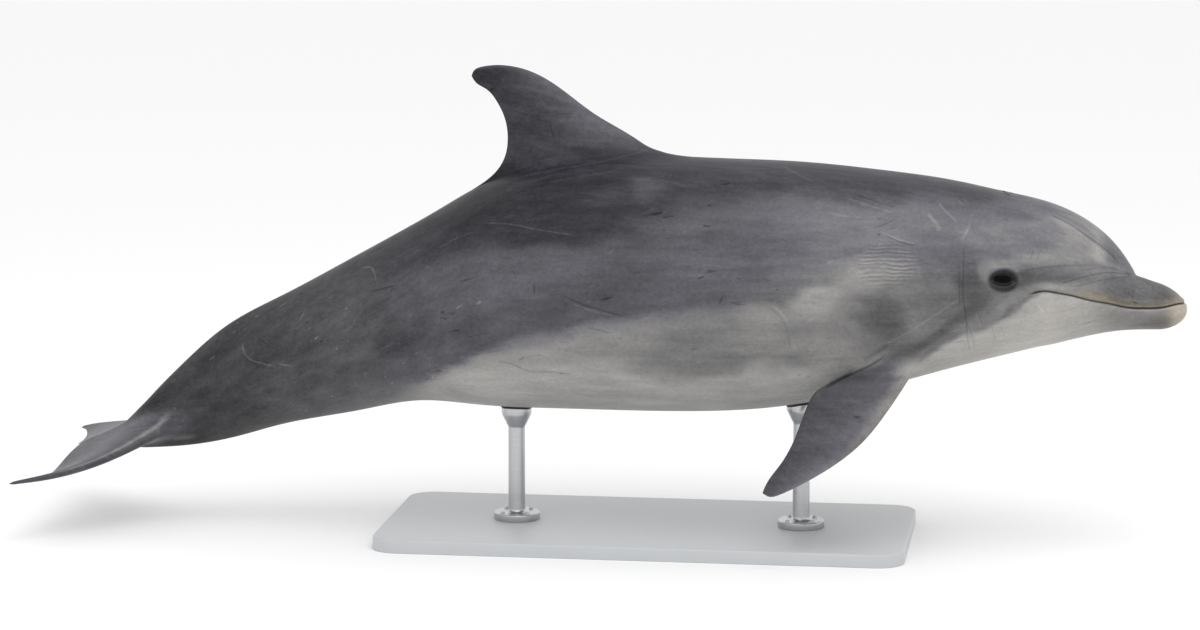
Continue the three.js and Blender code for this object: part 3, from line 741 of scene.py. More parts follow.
# soft patches: middle x and z, half sizes, tilt in degrees, tone, cover and how hard the border is
patches = [
    (-790, -118, 240, 48, 16, 64, 0.85, 0.4),    # darker band low on the tail
    (-500, -62, 150, 34, 22, 72, 0.75, 0.4),
    (-330, 90, 60, 60, 0, 84, 0.5, 0.4),
    (-100, 215, 190, 34, 4, 50, 0.8, 0.5),      # darkest part of the cape below the fin
    (-90, 335, 110, 26, 8, 66, 0.6, 0.3),
    (60, 290, 120, 22, 12, 74, 0.5, 0.4),
    (120, 300, 40, 30, 0, 84, 0.6, 0.4),
    (-40, 132, 100, 30, 18, 100, 0.6, 0.2),     # paler cloud over the smudge
    (-250, 84, 90, 26, 26, 92, 0.5, 0.2),
    (-10, 68, 130, 22, 12, 70, 0.6, 0.2),        # smudge above the pale flank
    (-220, 22, 90, 18, 24, 70, 0.6, 0.2),      # the same smudge further back
    (-240, -78, 60, 14, 28, 150, 0.5, 0.3),
    (-150, -70, 110, 26, 12, 152, 0.6, 0.3),
    (90, -4, 70, 30, 0, 146, 0.5, 0.2),
    (-120, -30, 50, 20, 10, 128, 0.5, 0.4),
    (290, 206, 180, 26, 5, 82, 0.55, 0.2),
    (-375, 160, 95, 36, 28, 66, 0.6, 0.3),
    (40, -76, 70, 18, 0, 158, 0.6, 0.3),
    (490, -98, 70, 34, 0, 166, 0.85, 0.4),
    (664, 128, 60, 46, 0, 138, 0.45, 0.2),
    # painted highlight on the melon's edge beside the root of the beak
    (1150, 152, 24, 20, -50, 140, 0.6, 0.3),
    (285, -75, 70, 34, 4, 113, 0.6, 0.5),       # smudge low on the flank
    (470, -58, 46, 26, 0, 118, 0.6, 0.4),
    (250, 30, 60, 24, 0, 128, 0.5, 0.4),
    (372, 40, 54, 26, 0, 144, 0.6, 0.4),
    (600, 126, 70, 46, 24, 146, 0.8, 0.4),     # pale chest behind the neck folds
    (508, 78, 74, 28, 14, 152, 0.85, 0.4),
    (660, 148, 56, 34, 0, 146, 0.75, 0.3),
    (925, 252, 50, 12, -8, 90, 0.6, 0.3),
    (546, -94, 38, 24, 0, 162, 0.85, 0.4),
    (700, 60, 70, 60, 0, 116, 0.7, 0.5),
    (622, 40, 42, 52, 0, 84, 0.72, 0.1),        # dark patches above the flipper
    (664, 26, 34, 58, 10, 82, 0.72, 0.1),
    (642, -10, 58, 24, 20, 88, 0.5, 0.1),
    (560, -50, 90, 50, 10, 138, 0.7, 0.4),
    (600, -110, 70, 34, 20, 140, 0.7, 0.4),
    (648, 190, 60, 34, 0, 122, 0.5, 0.5),
    (708, 240, 46, 26, 0, 128, 0.4, 0.5),
    (778, 34, 60, 40, 30, 106, 0.7, 0.4),
    (884, 42, 50, 13, 38, 142, 0.75, 0.4),      # paler skin under the dark band
    (850, 20, 44, 26, 34, 122, 0.7, 0.4),
    (764, -2, 86, 12, 36, 84, 0.8, 0.3),      # stripe from the eye to the flipper
    (842, 62, 60, 14, 36, 86, 0.8, 0.3),
    (690, -48, 46, 18, 20, 82, 0.85, 0.4),
    (-958, -298, 34, 9, 8, 98, 0.8, 0.3),      # paler patch under the tail stock
    (834, 112, 44, 46, 0, 76, 0.9, 0.4),        # dark patch behind the eye
    (800, 178, 60, 22, -20, 108, 0.6, 0.4),
    (830, 212, 46, 20, -30, 126, 0.6, 0.4),     # pale temple
    (905, 212, 66, 15, -16, 124, 0.6, 0.4),
    (868, 136, 16, 30, 20, 126, 0.7, 0.3),      # pale halo round the eye
    (902, 153, 48, 10, 0, 136, 0.85, 0.4),
    (965, 166, 44, 11, -2, 150, 0.7, 0.4),
    (1004, 204, 60, 20, -20, 112, 0.6, 0.4),
    (1070, 178, 70, 24, -28, 136, 0.75, 0.2),    # light panel of the melon: pale skin, with a painted highlight
    # the painted highlight's brightest part on the melon
    (1120, 162, 40, 16, -36, 172, 0.9, 0.2),
    (1040, 224, 50, 12, -34, 150, 0.6, 0.4),
    (960, 60, 44, 20, 40, 166, 0.8, 0.4),       # cheek
    (932, 84, 34, 13, 30, 132, 0.7, 0.3),
    (1012, 104, 52, 8, -8, 142, 0.8, 0.3),      # light strip above the corner of the mouth
]
# lines in the skin: points, half width, tone step (below 0 a dark nick, or a fold or crease darkened with
# painted shade; above 0 a pale scar), layer and side (0 both sides, 1 left, -1 right); lines that share a
# layer lie well apart
lines = [
    ([(1182, 120), (1120, 131), (1077, 125), (1024, 111)], 1.7, -24, 0, 0),
    ([(938, 140), (991, 147), (1055, 149), (1110, 145), (1150, 136)], 2.0, -12, 1, 0),
    ([(1180, 118), (1131, 118), (1088, 111), (1041, 103)], 1.7, -16, 2, 0),
    ([(1176, 122), (1120, 141), (1061, 137)], 1.8, -14, 3, 0),
    ([(1000, 252), (1040, 233), (1075, 210), (1118, 179), (1147, 152)], 1.5, -30, 0, 0),
    ([(1030, 247), (1066, 228), (1100, 200), (1136, 172)], 1.6, -10, 1, 0),
    ([(1010, 244), (1052, 222), (1084, 198), (1120, 168)], 2.4, 12, 3, 0),
    ([(971, 77), (982, 59), (995, 43)], 2.4, 14, 0, 0),
    ([(816, 196), (817, 164), (818, 78), (824, 37), (826, -3), (831, -46)], 1.1, -22, 0, 0),
    ([(806, 160), (808, 110), (810, 60)], 1.5, -14, 1, 0),
    ([(822, 30), (836, -2), (842, -42)], 1.6, -14, 2, 0),
    ([(850, 46), (856, 30), (858, 14)], 1.3, -16, 1, 0),
    ([(860, 38), (867, 16)], 1.2, -12, 3, 0),
    ([(876, 20), (883, 0), (886, -24)], 1.3, -13, 0, 0),
    ([(894, 24), (903, 2), (907, -18)], 1.3, -9, 2, 0),
    ([(936, 160), (942, 176)], 1.1, -26, 2, 0),   # small creases above the eye, darkened with painted shade
    ([(958, 158), (966, 185)], 1.1, -26, 3, 0),
    ([(972, 159), (983, 188)], 1.1, -20, 2, 0),
    ([(940, 186), (955, 180)], 1.1, -14, 1, 0),
    ([(626, 303), (640, 296), (657, 291)], 1.3, 14, 2, -1),
    ([(570, 286), (582, 276)], 1.3, 18, 3, -1),
    ([(590, 281), (603, 271)], 1.3, 16, 0, -1),
    ([(603, 279), (622, 270)], 1.3, 14, 3, -1),
    ([(681, 313), (696, 304)], 1.3, 12, 0, -1),
    ([(794, 288), (817, 272)], 1.4, 18, 1, -1),
    ([(808, 288), (826, 274)], 1.3, 14, 3, -1),
    ([(714, 290), (723, 273)], 1.3, -14, 0, -1),
    ([(734, 263), (750, 245), (768, 224)], 4.0, 26, 1, -1),
    ([(752, 286), (773, 266), (802, 240)], 2.0, 22, 2, -1),
    ([(828, 242), (822, 224), (812, 206)], 3.4, 20, 3, -1),
    ([(640, 223), (679, 206), (718, 198)], 1.8, 26, 0, 0),
    ([(650, 216), (682, 201), (716, 195)], 1.6, -18, 1, 0),
    ([(669, 250), (650, 240), (620, 230)], 1.6, -18, 2, 0),
    ([(815, 84), (757, 44), (704, 8), (649, -25)], 2.6, 14, 3, 0),
    ([(398, 62), (422, 42), (435, 21), (445, -37)], 2.0, -13, 0, 0),
    ([(404, 66), (430, 45), (444, 20)], 2.0, 16, 1, 0),
    ([(301, 84), (292, 64)], 2.4, -40, 0, -1),
    ([(406, 350), (481, 322)], 2.2, 14, 0, -1),
    ([(560, 290), (611, 276), (660, 262)], 1.8, 18, 0, -1),
    ([(575, 298), (620, 285), (668, 270)], 1.8, -16, 1, -1),
    ([(520, 262), (560, 254), (600, 252)], 1.8, 14, 2, -1),
    # painted shadow along the root of the flipper, where it meets the body, running on as broader painted
    # shade
    ([(520, -120), (570, -94), (618, -72), (646, -54)], 2.6, -40, 1, 0),
    ([(600, -62), (630, -44), (660, -22)], 5.0, -20, 2, 0),
    ([(-100, 451), (-54, 454)], 1.8, -20, 0, -1),
    ([(-112, 436), (-106, 416), (-101, 396)], 1.8, -22, 1, -1),
    ([(-236, 222), (-182, 223), (-130, 217), (-80, 211), (-28, 206)], 1.7, 28, 0, -1),
    ([(-340, 164), (-299, 187), (-256, 203)], 1.8, 22, 1, -1),
    ([(-810, -72), (-794, -102), (-761, -113), (-720, -120)], 2.0, 30, 0, -1),
    ([(-716, -112), (-680, -115)], 2.0, 34, 1, -1),
    ([(-770, -60), (-742, -72)], 2.0, -16, 2, -1),
    ([(-50, 76), (-12, 61), (21, 51), (90, 32)], 1.8, -19, 0, 0),
    ([(-30, 60), (16, 44), (60, 36)], 2.0, 18, 1, 0),
    ([(0, 8), (56, -5)], 2.0, -20, 2, 0),
    ([(-202, -80), (-170, -84), (-142, -98), (-90, -101), (-36, -105)], 2.0, -22, 0, 0),
    ([(-232, -60), (-200, -55)], 2.0, -18, 1, 0),
    ([(-115, 102), (-114, 74)], 2.2, -32, 1, -1),
    ([(-530, 104), (-504, 110), (-484, 80)], 1.8, 32, 0, -1),
    ([(-500, 60), (-436, 80)], 2.0, -28, 1, -1),
    ([(-330, 20), (-290, 34)], 2.0, -14, 0, -1),
    ([(-610, 33), (-588, 45)], 1.8, 30, 3, -1),
    ([(-668, -14), (-654, 12)], 1.8, 30, 0, -1),
    ([(-560, -30), (-540, -18), (-528, 4)], 1.8, 16, 1, -1),
    ([(-470, -62), (-440, -50)], 1.8, 18, 3, -1),
    ([(-380, 128), (-350, 120)], 1.8, 16, 3, -1),
    ([(230, 140), (262, 150), (300, 146)], 2.0, 12, 1, -1),
    ([(-195, 309), (-81, 335), (28, 356), (113, 376)], 2.4, 14, 2, 0),
    ([(-150, 300), (-40, 322), (60, 338)], 2.2, 12, 3, 0),
    ([(520, 150), (560, 190), (590, 240)], 2.2, 18, 0, 1),
    ([(300, 40), (350, 66), (380, 110)], 2.0, -20, 2, 1),
    ([(740, 230), (776, 204)], 3.0, 22, 1, 1),
    ([(-420, 60), (-360, 90), (-330, 130)], 2.0, 18, 2, 1),
    ([(-700, -60), (-640, -30)], 2.2, 22, 2, 1),
    ([(-140, 430), (-110, 470)], 1.8, 18, 2, 1),
    ([(120, 150), (190, 140), (240, 156)], 2.0, 16, 3, 1),
    ([(151, 321), (157, 334)], 1.4, 26, 0, -1),
    ([(166, 321), (173, 334)], 1.4, 24, 1, -1),
    ([(199, 308), (205, 319)], 1.4, 24, 0, -1),
    ([(209, 305), (214, 316)], 1.4, 22, 1, -1),
    ([(176, 315), (217, 307)], 1.6, 16, 2, -1),
]
# how far to each side a line is worked out, less among the crowded lines of the head, and its soft ends
lineShape = {"layers": 4, "reach": 20.0, "headShare": 0.5, "fullWithin": 0.6, "ends": (-2, 12), "widest": 9.0}


def storeField(piece, name, values):
    field = piece.data.attributes.new(name, "FLOAT", "POINT")
    field.data.foreach_set("value", np.ascontiguousarray(values, np.float32))


def ripple(x, y, z, size):  # slow irregular waves from -1 to 1 that bend the borders of the patches
    a, b, c = x / size, y / size, z / size
    return (np.sin(1.3 * a + 2.1 * c + 0.7) + np.sin(2.9 * a - 1.7 * c + 1.1 * b + 2.3)
            + np.sin(4.7 * c + 3.1 * a - 0.9 * b)) / 3


# signed distance to an open line in the side view, and how far along it the nearest point is from its ends
def lineDistance(x, z, points):
    best = np.full(len(x), 1e9)
    signed, fromEnd = np.zeros(len(x)), np.zeros(len(x))
    lengths = [math.dist(p, q) for p, q in zip(points, points[1:])]
    walked = 0.0
    for (p, q), length in zip(zip(points, points[1:]), lengths):
        alongX, alongZ = (q[0] - p[0]) / length, (q[1] - p[1]) / length
        run = (x - p[0]) * alongX + (z - p[1]) * alongZ
        side = (x - p[0]) * alongZ - (z - p[1]) * alongX
        held = np.clip(run, 0, length)
        apart = np.hypot(side, run - held)
        closer = apart < best
        best = np.where(closer, apart, best)
        signed = np.where(closer, np.where(side < 0, -apart, apart), signed)
        fromEnd = np.where(closer, np.minimum(walked + run, sum(lengths) - walked - run), fromEnd)
        walked += length
    return signed, fromEnd


def smoothedLine(points):
    if len(points) < 3:
        return points
    curve = pathCurve(points)
    return [tuple(curve(t)) for t in np.linspace(0, 1, 4 * len(points))]


def paintLines(piece, x, y, z):
    widest = lineShape["widest"]
    for layer in range(lineShape["layers"]):
        offset, tone, nearest = np.full(len(x), widest), np.zeros(len(x)), np.full(len(x), 1e9)
        for points, width, step, onLayer, side in lines:
            if onLayer != layer:
                continue
            signed, fromEnd = lineDistance(x, z, smoothedLine(points))
            apart = np.abs(signed)
            onHead = min(p[0] for p in points) >= torso["headFrom"]
            reach = lineShape["reach"] * (lineShape["headShare"] if onHead else 1)
            strength = step * smoothStep(fromEnd, *lineShape["ends"])
            strength = strength * (1 - smoothStep(apart, reach * lineShape["fullWithin"], reach))
            if side:
                strength = strength * (y * side > 0)
            closer = apart < nearest
            nearest = np.where(closer, apart, nearest)
            offset = np.where(closer, np.clip(signed / width, -widest, widest), offset)
            tone = np.where(closer, strength, tone)
        storeField(piece, f"lineOffset{layer}", offset)
        storeField(piece, f"lineTone{layer}", tone)


def edgeAcross(edge, along, across, at):  # where a fin's edge lies at a given place along its span
    curve = pathCurve(edge)(np.linspace(0, 1, 160))
    order = np.argsort(curve[:, along])
    return np.interp(at, curve[order, along], curve[order, across])


# past these heights a fin's chord is measured as at them, and it is never taken as narrower than this
finReach = {"dorsalTop": 520, "flipperLow": -326, "narrowest": 8}


# how far behind the front edge of a fin each point lies, from 0 to 1
def finChord(x, y, z):
    highest = np.minimum(z, finReach["dorsalTop"])
    upright = [edgeAcross(dorsal[edge], 1, 0, highest) for edge in ("leading", "trailing")]
    swung = aheadOf(np.abs(y), np.sign(y))
    lowest = np.maximum(z, finReach["flipperLow"])
    paddle = [edgeAcross(flipper[edge], 2, 0, lowest) + swung for edge in ("leading", "trailing")]
    tail = [fluke["root"][0] - edgeAcross(fluke[edge], 0, 1, np.abs(y)) for edge in ("leading", "trailing")]
    shares = []
    for front, rear in (upright, paddle, tail):
        shares.append(np.clip((front - x) / np.maximum(front - rear, finReach["narrowest"]), 0, 1))
    return shares


# the tones laid over the skin so far, and how much of it they cover
class Coat:
    def __init__(self, piece, bodyTree):
        coords = coordsOf(piece.data)
        self.x, self.y, self.z = fromFrame(coords).T
        self.up = normalsOf(piece.data)[:, 2]
        self.off = np.array([bodyTree.find_nearest(Vector(point))[3] for point in coords]) * 1000
        self.tone, self.cover = np.zeros(len(coords)), np.zeros(len(coords))

    def lay(self, level, share):
        share = np.clip(share, 0, 1)
        self.tone = self.tone * (1 - share) + level * share
        self.cover = self.cover * (1 - share) + share

    def mottle(self, size, strength):
        return ripple(self.x, self.y, self.z, size) * strength

    def oval(self, middleX, middleZ, halfX, halfZ):  # 1 on the border of an oval in the side view
        return np.hypot((self.x - middleX) / halfX, (self.z - middleZ) / halfZ)


def paintEdges(piece, coat):
    x, y, z = coat.x, coat.y, coat.z
    bend = sum(ripple(x + shift, y, z, length) * height for length, height, shift in markings["waves"])
    capeBend = bend * smoothStep(x, *markings["capeStill"])
    storeField(piece, "cape", z - spline(markings["capeEdge"])(x) + capeBend)
    storeField(piece, "step", z - ramp(markings["stepEdge"])(x) + bend)
    storeField(piece, "belly", z - ramp(markings["bellyEdge"])(x) + bend)
    behindMouth = (ramp(markings["throatEdge"])(x) - z) * markings["throatSlope"]
    throat = np.where(x > markings["throatMouth"], mouthLine(x) - z, behindMouth)
    throat = throat + bend * markings["throatWave"] * (x < markings["throatWaveTo"])
    for drop, ahead, behind in markings["throatEnds"]:
        throat = throat - drop * smoothStep(x, ahead, behind)
    storeField(piece, "throat", throat)
    for name in ("backTone", "flankTone", "lowerTone", "bellyTone", "throatTone"):
        storeField(piece, name, ramp(markings[name])(x))
    return bend, throat


# how the borders of the soft patches wander: length and height of the waves, less on a narrow patch
patchWander = {"alongX": (42, 12), "alongZ": (36, 9), "fullHeight": 30, "outer": 1.5, "outerDrop": 0.4}


def layPatches(coat):
    x, y, z = coat.x, coat.y, coat.z
    sizeX, heightX = patchWander["alongX"]
    sizeZ, heightZ = patchWander["alongZ"]
    warpX, warpZ = ripple(x, y, z, sizeX) * heightX, ripple(z, x, y, sizeZ) * heightZ
    for middleX, middleZ, halfX, halfZ, tilt, level, share, hard in patches:
        cosine, sine = math.cos(math.radians(tilt)), math.sin(math.radians(tilt))
        loose = min(1.0, halfZ / patchWander["fullHeight"])
        overX, overZ = x + warpX * loose - middleX, z + warpZ * loose - middleZ
        across = (overX * cosine + overZ * sine) / halfX
        upward = (overZ * cosine - overX * sine) / halfZ
        outer = patchWander["outer"] - hard * patchWander["outerDrop"]
        coat.lay(level, share * (1 - smoothStep(np.hypot(across, upward), hard, outer)))


# the pale stripe along the middle of the melon and the dark band from the eye to the root of the beak
melonMarks = {
    "stripeHalf": [(940, 0), (985, 26), (1017, 40), (1053, 58), (1086, 61), (1129, 55), (1190, 36)],
    "stripeTone": [(960, 108), (1040, 122), (1100, 142), (1160, 130)],
    "stripeSide": (-4, 6), "stripeStart": (960, 1010), "stripeAbove": 110, "stripeCover": 0.85,
    "bandTop": [(925, 136), (950, 143), (1001, 150), (1061, 157), (1119, 153), (1160, 137), (1186, 120)],
    "bandLow": [(925, 104), (960, 112), (992, 117), (1030, 114), (1056, 116), (1088, 117), (1120, 122),
                (1150, 122), (1186, 116)],
    "bandTone": [(920, 80), (985, 98), (1040, 116), (1100, 126), (1160, 114), (1190, 94)],
    "bandTopSoft": (-3, 4), "bandLowSoft": (-5, 5), "bandStart": (915, 935), "bandEnd": (1176, 1192),
    "bandCover": 0.92,
    # the darker core low in the band
    "coreTone": 92, "coreCover": 0.8, "coreHeight": 0.25, "coreHalf": 9,
    "coreStart": (930, 950), "coreEnd": (1030, 1080),
}


def layMelon(coat):
    x, z, marks = coat.x, coat.z, melonMarks
    stripe = smoothStep(ramp(marks["stripeHalf"])(x) - np.abs(coat.y), *marks["stripeSide"])
    stripe = stripe * smoothStep(x, *marks["stripeStart"]) * (z > marks["stripeAbove"])
    coat.lay(ramp(marks["stripeTone"])(x), marks["stripeCover"] * stripe)
    bandTop, bandLow = spline(marks["bandTop"])(x), spline(marks["bandLow"])(x)
    band = smoothStep(bandTop - z, *marks["bandTopSoft"]) * smoothStep(z - bandLow, *marks["bandLowSoft"])
    band *= smoothStep(x, *marks["bandStart"])
    band *= 1 - smoothStep(x, *marks["bandEnd"])
    coat.lay(ramp(marks["bandTone"])(x), marks["bandCover"] * band)
    core = hump((z - lerp(bandLow, bandTop, marks["coreHeight"])) / marks["coreHalf"], 0, 1)
    core = core * smoothStep(x, *marks["coreStart"])
    coat.lay(marks["coreTone"], marks["coreCover"] * core * (1 - smoothStep(x, *marks["coreEnd"])))
    return band


# the upper beak has a dark top, a pale lip and a tan tip
beakMarks = {
    "lipEdge": [(1010, 102), (1070, 98), (1110, 92), (1150, 76), (1194, 66), (1231, 63), (1270, 64),
                (1299, 66)],
    "topTone": [(1100, 108), (1150, 100), (1200, 94), (1250, 86), (1299, 136)],
    "topSoft": (-6, 9), "topStart": (1096, 1136), "topMottle": (7, 7), "topCover": 0.9,
    "tipTone": 148, "tipStart": (1262, 1294), "tipFade": (104, 66), "tipCover": 0.7,
    "lipTone": [(990, 130), (1060, 134), (1110, 120), (1180, 96), (1240, 84), (1276, 112), (1299, 162)],
    "lipSoft": (-4, 6), "lipStart": (985, 1020), "lipCover": 0.9,
}


def layBeak(coat, band):
    x, z, marks = coat.x, coat.z, beakMarks
    lipEdge = spline(marks["lipEdge"])(x)
    aboveMouth = z > mouthLine(x)
    top = smoothStep(z - lipEdge, *marks["topSoft"]) * smoothStep(x, *marks["topStart"]) * aboveMouth
    topTone = ramp(marks["topTone"])(x) + coat.mottle(*marks["topMottle"])
    coat.lay(topTone, marks["topCover"] * top * (1 - band))
    tip = smoothStep(x, *marks["tipStart"]) * aboveMouth * smoothStep(z, *marks["tipFade"])
    coat.lay(marks["tipTone"], marks["tipCover"] * tip)
    lip = smoothStep(lipEdge - z, *marks["lipSoft"]) * aboveMouth * smoothStep(x, *marks["lipStart"])
    coat.lay(ramp(marks["lipTone"])(x), marks["lipCover"] * lip)
    return lip


# the lower jaw has a bright lip, a darker chin and a tan tip, and painted shade darkens the slit of the mouth
jawMarks = {
    # tone, cover, distance below the mouth line, width and the stretch over which it starts
    "lips": [(156, 0.4, -4.5, 2.4, 1080, 1150), (168, 0.5, 4.5, 3, 1110, 1180)],
    "chinTone": [(1090, 126), (1175, 120), (1240, 96)],
    "chinStart": (1090, 1160), "chinEnd": (1250, 1280), "chinBelow": (6, 30), "chinCover": 0.75,
    "tipTone": 176, "tipStart": (1240, 1285), "tipBelow": (60, 10), "tipCover": 0.8,
    # the line of the mouth: painted shade in its slit
    "mouthShadeTone": 40, "mouthHalf": 1.5, "mouthStart": (955, 972), "mouthShadeCover": 0.95,
}


def layJaw(coat):
    x, marks = coat.x, jawMarks
    under = mouthLine(x) - coat.z
    for tone, cover, away, width, start, full in marks["lips"]:
        coat.lay(tone, cover * hump(under, away, width) * smoothStep(x, start, full))
    chin = smoothStep(x, *marks["chinStart"]) * (1 - smoothStep(x, *marks["chinEnd"]))
    chinShare = marks["chinCover"] * smoothStep(under, *marks["chinBelow"]) * chin
    coat.lay(ramp(marks["chinTone"])(x), chinShare)
    tip = smoothStep(x, *marks["tipStart"]) * smoothStep(under, *marks["tipBelow"]) * (under > 0)
    coat.lay(marks["tipTone"], marks["tipCover"] * tip)
    # painted shade in the slit of the mouth
    mouthShade = hump(coat.z - mouthLine(x), 0, marks["mouthHalf"]) * smoothStep(x, *marks["mouthStart"])
    coat.lay(marks["mouthShadeTone"], marks["mouthShadeCover"] * mouthShade)
    return mouthShade


# the lids and the dark skin round the eye, from the outer ring inwards; the inner rings add painted shade
# round the opening, the shadow of the upper lid
eyeMarks = {
    # middle x and z, half sizes, tone, cover, and where its soft border starts and ends
    "rings": [(903, 120, 34, 26, 88, 0.9, 0.85, 1.2), (903, 119.5, 34, 27, 42, 0.95, 0.76, 1.04),
              (902, 122, 28, 17, 20, 0.9, 0.75, 1.05)],
    "lowerLid": (902, 121, 26, 14), "lidTone": 84, "lidCover": 0.5, "lidAt": 1.1, "lidWidth": 0.10,
    "lidBelow": 116,
}


def layEyeSkin(coat):
    for middleX, middleZ, halfX, halfZ, tone, cover, start, end in eyeMarks["rings"]:
        coat.lay(tone, cover * (1 - smoothStep(coat.oval(middleX, middleZ, halfX, halfZ), start, end)))
    lid = hump(coat.oval(*eyeMarks["lowerLid"]), eyeMarks["lidAt"], eyeMarks["lidWidth"])
    coat.lay(eyeMarks["lidTone"], eyeMarks["lidCover"] * lid * (coat.z < eyeMarks["lidBelow"]))


# fin tones: chord runs from the front edge at 0 to the rear edge at 1, fades are distances off the body
dorsalMarks = {
    "fade": (3, 42), "above": 280, "rear": -320, "front": 300,
    "tones": (94, 58), "chord": (0.02, 0.85), "height": (360, 200), "lowExtra": 14, "highLess": 11,
    # the top tone is a painted highlight on parts of the fin that face up
    "mottle": (16, 5), "cover": 0.94, "topTone": 92, "topCover": 0.6, "facingUpHighlight": (0.1, 0.7),
}
flipperMarks = {
    "fade": (2, 26), "below": -20, "ahead": 380, "outside": 60, "span": (60, 280),
    "tone": [(0, 116), (0.3, 90), (0.6, 74), (1, 58)], "mottle": (14, 5), "cover": 0.95,
    "edge": (0.04, 0.2, 0.06), "edgeTones": (160, 116), "edgeSpan": (0, 0.7), "edgeMottle": (5, 8),
    "edgeCover": 0.85, "underTone": 124, "underCover": 0.35, "facingDown": -0.2,
    "armpit": (700, -84, 34, 26), "armpitTone": 168, "armpitCover": 0.8, "armpitReach": 40,
}
flukeMarks = {
    "fade": (1, 12), "behind": -930, "tones": (84, 92), "chord": (0.1, 0.6),
    "farExtra": 14, "farSide": (-40, 60), "tipLess": 22, "tip": (190, 280), "mottle": (18, 5), "cover": 0.92,
    # a painted sheen along the middle of the flukes' chord
    "sheenTone": 112, "sheenCover": 0.7, "middle": (0.5, 0.25), "sheenSpan": (150, 230),
    # a pale line along the front edge: pale skin, brightened by a painted highlight
    "light": (0.08, 0.035), "highlightFacing": -0.3, "lightSpan": (200, 270), "lightTone": 146,
    "lightMottle": (5, 14), "lightCover": 0.85, "lightFade": (2, 16),
    # a painted shadow along the front edge of the near fluke
    "shadedRimTone": 78, "shadedRimCover": 0.7, "rim": (0.0, 0.06),
}


def layDorsal(coat, chord):
    marks = dorsalMarks
    onFin = smoothStep(coat.off, *marks["fade"]) * (coat.z > marks["above"])
    onFin = onFin * (coat.x < marks["front"]) * (coat.x > marks["rear"])
    start, over = marks["height"]
    height = np.clip((coat.z - start) / over, 0, 1)
    tone = lerp(*marks["tones"], smoothStep(chord, *marks["chord"]))
    tone = tone + marks["lowExtra"] * (1 - height) - marks["highLess"] * height
    coat.lay(tone + coat.mottle(*marks["mottle"]), marks["cover"] * onFin)
    # a painted highlight on the parts of the fin that face up, its sloping front edge and top
    coat.lay(marks["topTone"], marks["topCover"] * onFin * smoothStep(coat.up, *marks["facingUpHighlight"]))
    return onFin


def layFlippers(coat, chord):
    marks = flipperMarks
    onFin = smoothStep(coat.off, *marks["fade"]) * (coat.z < marks["below"])
    onFin = onFin * (coat.x > marks["ahead"]) * (np.abs(coat.y) > marks["outside"])
    start, over = marks["span"]
    span = np.clip((-coat.z - start) / over, 0, 1)
    coat.lay(ramp(marks["tone"])(chord) + coat.mottle(*marks["mottle"]), marks["cover"] * onFin)
    # the pale front edge: pale skin, brightened by a painted highlight
    edgeStart, edgeEnd, rootExtra = marks["edge"]
    front = 1 - smoothStep(chord, edgeStart, edgeEnd + rootExtra * (1 - span))
    edgeTone = lerp(*marks["edgeTones"], smoothStep(span, *marks["edgeSpan"]))
    coat.lay(edgeTone + coat.mottle(*marks["edgeMottle"]), marks["edgeCover"] * onFin * front)
    coat.lay(marks["underTone"], marks["underCover"] * onFin * (coat.up < marks["facingDown"]))
    armpit = hump(coat.oval(*marks["armpit"]), 0, 1) * (coat.off < marks["armpitReach"])
    coat.lay(marks["armpitTone"], marks["armpitCover"] * armpit)
    return onFin, front


def layFlukes(coat, chord):
    marks = flukeMarks
    out, behind = np.abs(coat.y), coat.x < marks["behind"]
    onFin = smoothStep(coat.off, *marks["fade"]) * behind
    tone = lerp(*marks["tones"], smoothStep(chord, *marks["chord"]))
    tone += marks["farExtra"] * smoothStep(coat.y, *marks["farSide"])
    tone -= marks["tipLess"] * smoothStep(out, *marks["tip"])
    coat.lay(tone + coat.mottle(*marks["mottle"]), marks["cover"] * onFin)
    # a painted sheen along the middle of the chord
    middle = hump(chord, *marks["middle"]) * (1 - smoothStep(out, *marks["sheenSpan"]))
    coat.lay(marks["sheenTone"], marks["sheenCover"] * onFin * middle)
    # the pale line along the front edge of the flukes, on parts that do not face down: pale skin, brightened
    # by a painted highlight
    light = hump(chord, *marks["light"]) * (coat.up > marks["highlightFacing"])
    light = light * (1 - smoothStep(out, *marks["lightSpan"]))
    lightShare = marks["lightCover"] * smoothStep(coat.off, *marks["lightFade"]) * behind * light
    coat.lay(marks["lightTone"] + coat.mottle(*marks["lightMottle"]), lightShare)
    # a painted shadow along the front edge of the near fluke
    rim = (1 - smoothStep(chord, *marks["rim"])) * (coat.y < 0)
    coat.lay(marks["shadedRimTone"], marks["shadedRimCover"] * onFin * rim)
    return onFin, light


# where the tone turns warm or cool, where the streaks tilt, and where the skin folds or is wet
tintMarks = {
    "tip": (1225, 1290), "tipAbove": 34, "tipSoft": (-10, 20), "tipWarm": 0.9,
    "lip": (1020, 1100), "lipWarm": 0.95, "throat": (0, 30), "throatWarm": 0.16,
    "flipperWarm": 0.22, "mouthWarm": 0.35, "flukeWarm": 0.35,
    "middle": [(-560, -240), (-265, -120), (120, 20), (500, 130), (700, 150), (900, 165), (1300, 130)],
    "coolSoft": (-60, 40), "coolLess": 0.5, "tailLess": (-200, -600), "rear": (-80, -420),
    "neck": (655, 152, 76, 54), "neckSoft": (0.6, 1.0), "wet": (902, 119, 24, 13),
}


